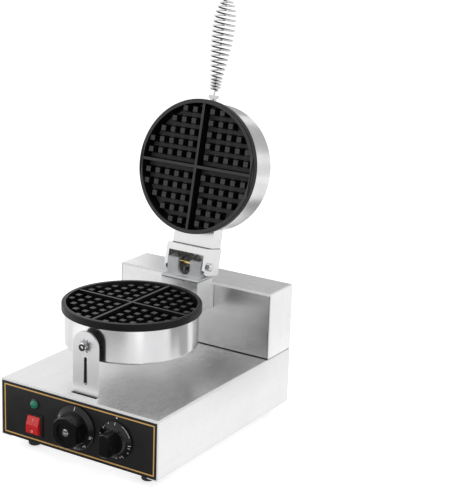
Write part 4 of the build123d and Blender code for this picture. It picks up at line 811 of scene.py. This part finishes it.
def cast_coating(name, node, turned):
    """Black non-stick coat on a cast plate with sand grain, and painted sheen, highlights and shade.
    """
    made, shade = new_material(name)
    low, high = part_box(node)
    place = shade.node("TexCoord", {}, {}, "Object")
    centred = shade.node("VectorMath", {"operation": "SUBTRACT"}, {0: place, 1: (low + high) / 2})
    level_it = {"Vector": centred, "Rotation": (turned, 0, 0), "Scale": (1, 1, 0)}
    flat = shade.node("Mapping", {}, level_it)
    radius = shade.node("VectorMath", {"operation": "LENGTH"}, {0: flat}, "Value")
    level_face = measured(shade, "Normal", (0, sin(turned), cos(turned)))
    level_face = shade.node("Math", {"operation": "ABSOLUTE"}, {0: level_face}).between(0.75, 0.97)
    # The ramp paints highlight lines at the edges of the rim and shade on the rim between them.
    grid, rim_highlight, rim_shade = (0.6, 0.6, 0.6), (1, 1, 1), (0.04, 0.04, 0.04)
    stops = [
        (0.0, grid),
        (0.862, grid),
        (0.868, rim_highlight),
        (0.878, rim_highlight),
        (0.884, rim_shade),
        (0.908, rim_shade),
        (0.916, rim_highlight),
    ]
    rim = shade.node("ValToRGB", {"stops": stops}, {"Fac": radius * 10}, "Color")
    sand = noise(shade, place, 900.0, 3.0)
    flow = noise(shade, place, 60.0, 3.0)
    # Level faces are painted paler as a painted sheen, so the steep sides stay darker.
    paleness = level_face * rim * (sand * 0.9 + flow * 0.5 + 0.3)
    sockets = {
        "Base Color": paleness.blend((0.0035, 0.0035, 0.0038), (0.088, 0.088, 0.090)),
        "Roughness": (flow - 0.5) * 0.2 + (sand - 0.5) * 0.12 + 0.4,
        "Specular IOR Level": 0.2,
        "Normal": bump(shade, 0.3, 0.00012, sand + flow * 0.5),
    }
    principled(shade, sockets)
    return made


dress(cast_coating("lower_coating", "lower_grid_plate", 0.0), "lower_grid_plate")
element_steel = plated("element_steel", (0.34, 0.31, 0.29), 0.42, 0.08)
wool = moulded("mineral_wool", (0.45, 0.40, 0.24), 0.95, 700.0, 0.9)
dress(element_steel, "lower_element", "upper_element", "lower_press_plate", "upper_press_plate")
dress(wool, "lower_wool", "upper_wool")
dress(bright_zinc, "lower_centre_bolt", "upper_centre_bolt")


# Hood
# Folded stainless cover with a front panel and a vented back, standing on the base behind
# the drum. Its front edge carries a painted highlight, pale like the edge of the base.
hood_low, hood_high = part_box("hood_cover")


def hood_edge(shade):
    """The edge of the sheet round the front panel, where a pale highlight is painted."""
    fades_in, full = 0.0014, 0.0008
    forward = measured(shade, "Object", (0, -1, 0))
    return forward.between(-hood_low.y - fades_in, -hood_low.y - full)


# The same pale finish on the hood's front edge: a painted highlight.
painted_edge_highlight = (hood_edge, *edge_highlight_finish)
hood_steel = brushed_steel("hood_steel", across_y, 0.88, 0.27, patchy=0.04, odd=painted_edge_highlight)
dress(hood_steel, "hood_cover")
dress(back_steel, "hood_back")
front_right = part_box("hood_front")[1].x


def front_joint(shade):
    """The joint with the folded cover, darkened for dirt and by painted shade."""
    fades_in, full = 0.0012, 0.0007
    rightward = measured(shade, "Object", (1, 0, 0))
    return rightward.between(front_right - fades_in, front_right - full)


# A dark line along the joint: partly dirt, partly painted shade in the seam.
dirt_and_shade_joint = (front_joint, 0.1, 0.5, 1.0)
# The front panel's tone is set darker than the hood cover's: painted shade for the darker things it
# reflects.
hood_front_steel = brushed_steel("hood_front_steel", along_x, 0.66, 0.24, odd=dirt_and_shade_joint)
dress(hood_front_steel, "hood_front")


# Hood shade strip
# A flat black strip lies in the joint between the hood and the base, and stands a little
# proud in front of the hood: painted shade for the dark gap along the foot of the hood.
shade_strip_clearance = 0.00004
shade_strip_level = base_high.z + shade_strip_clearance
shade_strip_height = hood_low.z - base_high.z - 2 * shade_strip_clearance
shade_strip_front = hood_low.y - 0.0011
shade_strip_back = hood_high.y - 0.0003
shade_strip_reach = hood_high.x - 0.0002
shade_strip_wall = 0.0022
shade_strip_place = (0, (shade_strip_front + shade_strip_back) / 2, shade_strip_level)
bpy.ops.mesh.primitive_plane_add(size=1, location=shade_strip_place)
shade_strip = bpy.context.active_object
shade_strip.scale = (2 * shade_strip_reach, shade_strip_back - shade_strip_front, 1)
shade_strip = settle("hood_shade_strip")
opened(shade_strip, "SELECT")
hollowed(shade_strip_wall, (0, 0, shade_strip_height))
closed(shade_strip)
# A dark strip put where there is only shade: painted shade along the hood's foot.
shade_strip.data.materials.append(moulded("shade_strip_black", (0.010, 0.010, 0.010), 0.7, paleness=1.4))
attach(shade_strip, "housing")


# Back screws
# Eight bright zinc pan head screws with a cross recess, which hold the two back sheets. One
# head is turned and recessed, and each screw is a copy of it, tightened to its own angle.
head_radius, head_height, head_rounding = 0.0031, 0.0018, 0.0009
recess_length, recess_width, recess_depth = 0.0038, 0.0008, 0.0010
bit_height = 0.0014
head_place = (0, 0, head_height / 2)
bpy.ops.mesh.primitive_cylinder_add(
    vertices=36, radius=head_radius, depth=head_height, location=head_place
)
head = settle("screw_head")
opened(head)
loose = bmesh.from_edit_mesh(head.data)
for face in loose.faces:
    face.select_set(face.normal.z > 0.9)
loose.select_flush_mode()
bmesh.update_edit_mesh(head.data)
bpy.ops.mesh.bevel(offset=head_rounding, segments=4, affect="EDGES")
closed(head)
bit_place = (0, 0, head_height - recess_depth + bit_height / 2)
for turn in (0, pi / 2):
    bpy.ops.mesh.primitive_cube_add(size=1, location=bit_place, rotation=(0, 0, turn))
    bit = bpy.context.active_object
    bit.scale = (recess_length, recess_width, bit_height)
    bit = settle("bit")
    cut = head.modifiers.new("recess", "BOOLEAN")
    cut.operation = "DIFFERENCE"
    cut.object = bit
    bpy.context.view_layer.objects.active = head
    head.select_set(True)
    bpy.ops.object.modifier_apply(modifier=cut.name)
    head.select_set(False)
    bpy.data.objects.remove(bit)
head.select_set(True)
bpy.ops.object.shade_smooth_by_angle(angle=radians(30))
head.select_set(False)
head.data.materials.append(bright_zinc)
back_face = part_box("base_back")[1].y
rows, columns = (0.027, 0.086, 0.105, 0.180), (-0.115, 0.115)
screw_places = [(x, z) for z in rows for x in columns]
facing_back = Matrix.Rotation(-pi / 2, 4, "X")
for number, (x, z) in enumerate(screw_places, 1):
    screw = head.copy()
    screw.data = head.data.copy()
    screw.name = "back_screw_" + str(number)
    tightened = Matrix.Rotation(radians(37 * number), 4, "Z")
    screw.data.transform(Matrix.Translation((x, back_face, z)) @ facing_back @ tightened)
    bpy.context.collection.objects.link(screw)
    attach(screw, "housing")
bpy.data.objects.remove(head)


# Neck and hinge saddle
# Welded stainless box on the front of the hood, with the duct of the lower drum in it. A
# fibre gasket and the grey sand cast saddle, whose ears hold the hinge pin, are screwed on top.
def neck_side(shade):
    """The right wall, painted a pale matte grey as the side that the light falls on."""
    return measured(shade, "Normal", (1, 0, 0)).between(0.8, 0.95)


# Painted light: the right wall alone gets a pale, matte, less metallic finish.
painted_lit_side = (neck_side, 0.92, 0.5, 0.35)
neck_steel = brushed_steel("neck_steel", along_z, 0.86, 0.42, patchy=0.06, odd=painted_lit_side)
dress(neck_steel, "neck_box", "drum_duct")
dress(moulded("gasket_fibre", (0.03, 0.03, 0.03), 0.9, 500.0, 0.4), "hinge_gasket")


def cast_metal(name, colour, rough):
    """Bare sand casting, shot blasted: grainy, dull and uneven."""
    made, shade = new_material(name)
    place = shade.node("TexCoord", {}, {}, "Object")
    grain = noise(shade, place, 1500.0, 4.0)
    patch = noise(shade, place, 90.0, 3.0)
    darker = tuple(part * 0.8 for part in colour)
    sockets = {
        "Base Color": (patch * 0.5 + grain * 0.5).between(0.35, 0.65).blend(darker, colour),
        "Metallic": 0.35,
        "Roughness": (grain - 0.5) * 0.2 + rough,
        "Normal": bump(shade, 0.35, 0.00015, grain),
    }
    principled(shade, sockets)
    return made


dress(cast_metal("hinge_cast", (0.72, 0.73, 0.74), 0.5), "hinge_casting")
dress(bright_zinc, "casting_screws")


# Lid arm
# Stainless block brazed to a windowed channel, which swings on a brass coloured pin. The
# leads of the upper drum pass through its window in glass fibre sleeves.
lid_turn = radians(102.3)
arm_way = (0.0, -cos(lid_turn), sin(lid_turn))
channel_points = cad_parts["lid_channel"].data.vertices
channel_end = max(point.co.dot(Vector(arm_way)) for point in channel_points)


def block_joint(shade):
    """The line where the block meets the end of the channel, darkened as a painted shadow gap."""
    fades_in, fades_out, gone = 0.0003, 0.0008, 0.0012
    reach = measured(shade, "Object", arm_way)
    begins = reach.between(channel_end - fades_in, channel_end)
    ends = reach.between(channel_end + fades_out, channel_end + gone)
    return begins * (1 - ends)


open_turn = (lid_turn, 0, 0)
arm_steel = brushed_steel("arm_steel", along_x, 0.82, 0.25, open_turn, 0.06)
dress(arm_steel, "lid_channel")
# Painted shadow: a thin dark band on the block along the end of the channel.
painted_shadow_line = (block_joint, 0.16, 0.5, 1.0)
block_steel = brushed_steel("block_steel", along_x, 0.82, 0.25, open_turn, 0.06, odd=painted_shadow_line)
dress(block_steel, "lid_block")
dress(plated("pin_brass", (0.76, 0.58, 0.28), 0.25), "hinge_pin")
dress(bright_zinc, "hinge_nuts", "hinge_bushes", "stop_bar")
sleeve = moulded("lead_sleeve", (0.26, 0.255, 0.245), 0.85, 2400.0, 0.5, 0.0, 1.5)
dress(sleeve, "lid_leads", "neck_leads")


# Upper baking drum
# The same stainless drum and coated plate as the lower ones, turned over and carried by the
# lid arm, so their grain turns with the open lid.
upper_steel = brushed_steel("upper_drum_steel", round_wall, 0.78, 0.22, open_turn, bands=wall_bands)
dress(upper_steel, "upper_drum")
dress(cast_coating("upper_coating", "upper_grid_plate", lid_turn), "upper_grid_plate")


# Coil handle
# One chrome plated wire coiled in a long bulb, which stays cool to the hand. It is pushed
# over a plated hexagon post that a nut holds in the wall of the upper drum.
def coil_chrome(name, node, run):
    """Bright chrome, with painted shade and dark reflection on the side of the wire that looks into
    the coil.
    """
    made, shade = new_material(name)
    low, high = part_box(node)
    place = shade.node("TexCoord", {}, {}, "Object")
    off_centre = shade.node("VectorMath", {"operation": "SUBTRACT"}, {0: place, 1: (low + high) / 2})
    reach = shade.node("VectorMath", {"operation": "DOT_PRODUCT"}, {0: off_centre, 1: run}, "Value")
    along = shade.node("VectorMath", {"operation": "SCALE"}, {0: run, "Scale": reach})
    outward = shade.node("VectorMath", {"operation": "SUBTRACT"}, {0: off_centre, 1: along})
    outward = shade.node("VectorMath", {"operation": "NORMALIZE"}, {0: outward})
    # Painted shade and dark reflection: the side of the wire that faces the coil's axis is darkened.
    inward_shade = measured(shade, "Normal", outward).between(-0.1, -0.65)
    film = noise(shade, place, 140.0, 3.0)
    chrome = film.between(0.3, 0.7).blend((0.62, 0.62, 0.63), (0.72, 0.72, 0.73))
    sockets = {
        "Base Color": inward_shade.blend(chrome, (0.1, 0.1, 0.1)),
        "Metallic": 1.0,
        "Roughness": (film - 0.5) * 0.03 + inward_shade * 0.1 + 0.045,
    }
    principled(shade, sockets)
    return made


dress(coil_chrome("handle_chrome", "coil_handle", arm_way), "coil_handle")
dress(plated("post_chrome", (0.66, 0.66, 0.67), 0.1), "handle_post")
dress(bright_zinc, "handle_nut")


# Cord entry
# Black moulded gland with its nut, screwed into the back of the base, and a glazed ceramic
# terminal block on the floor inside, where the supply leads are clamped.
gland_black = moulded("gland_black", (0.02, 0.02, 0.02), 0.5)
dress(gland_black, "cord_gland", "gland_nut")
dress(moulded("terminal_ceramic", (0.80, 0.78, 0.72), 0.3, 600.0, 0.05, 0.4, 1.08), "terminal_block")
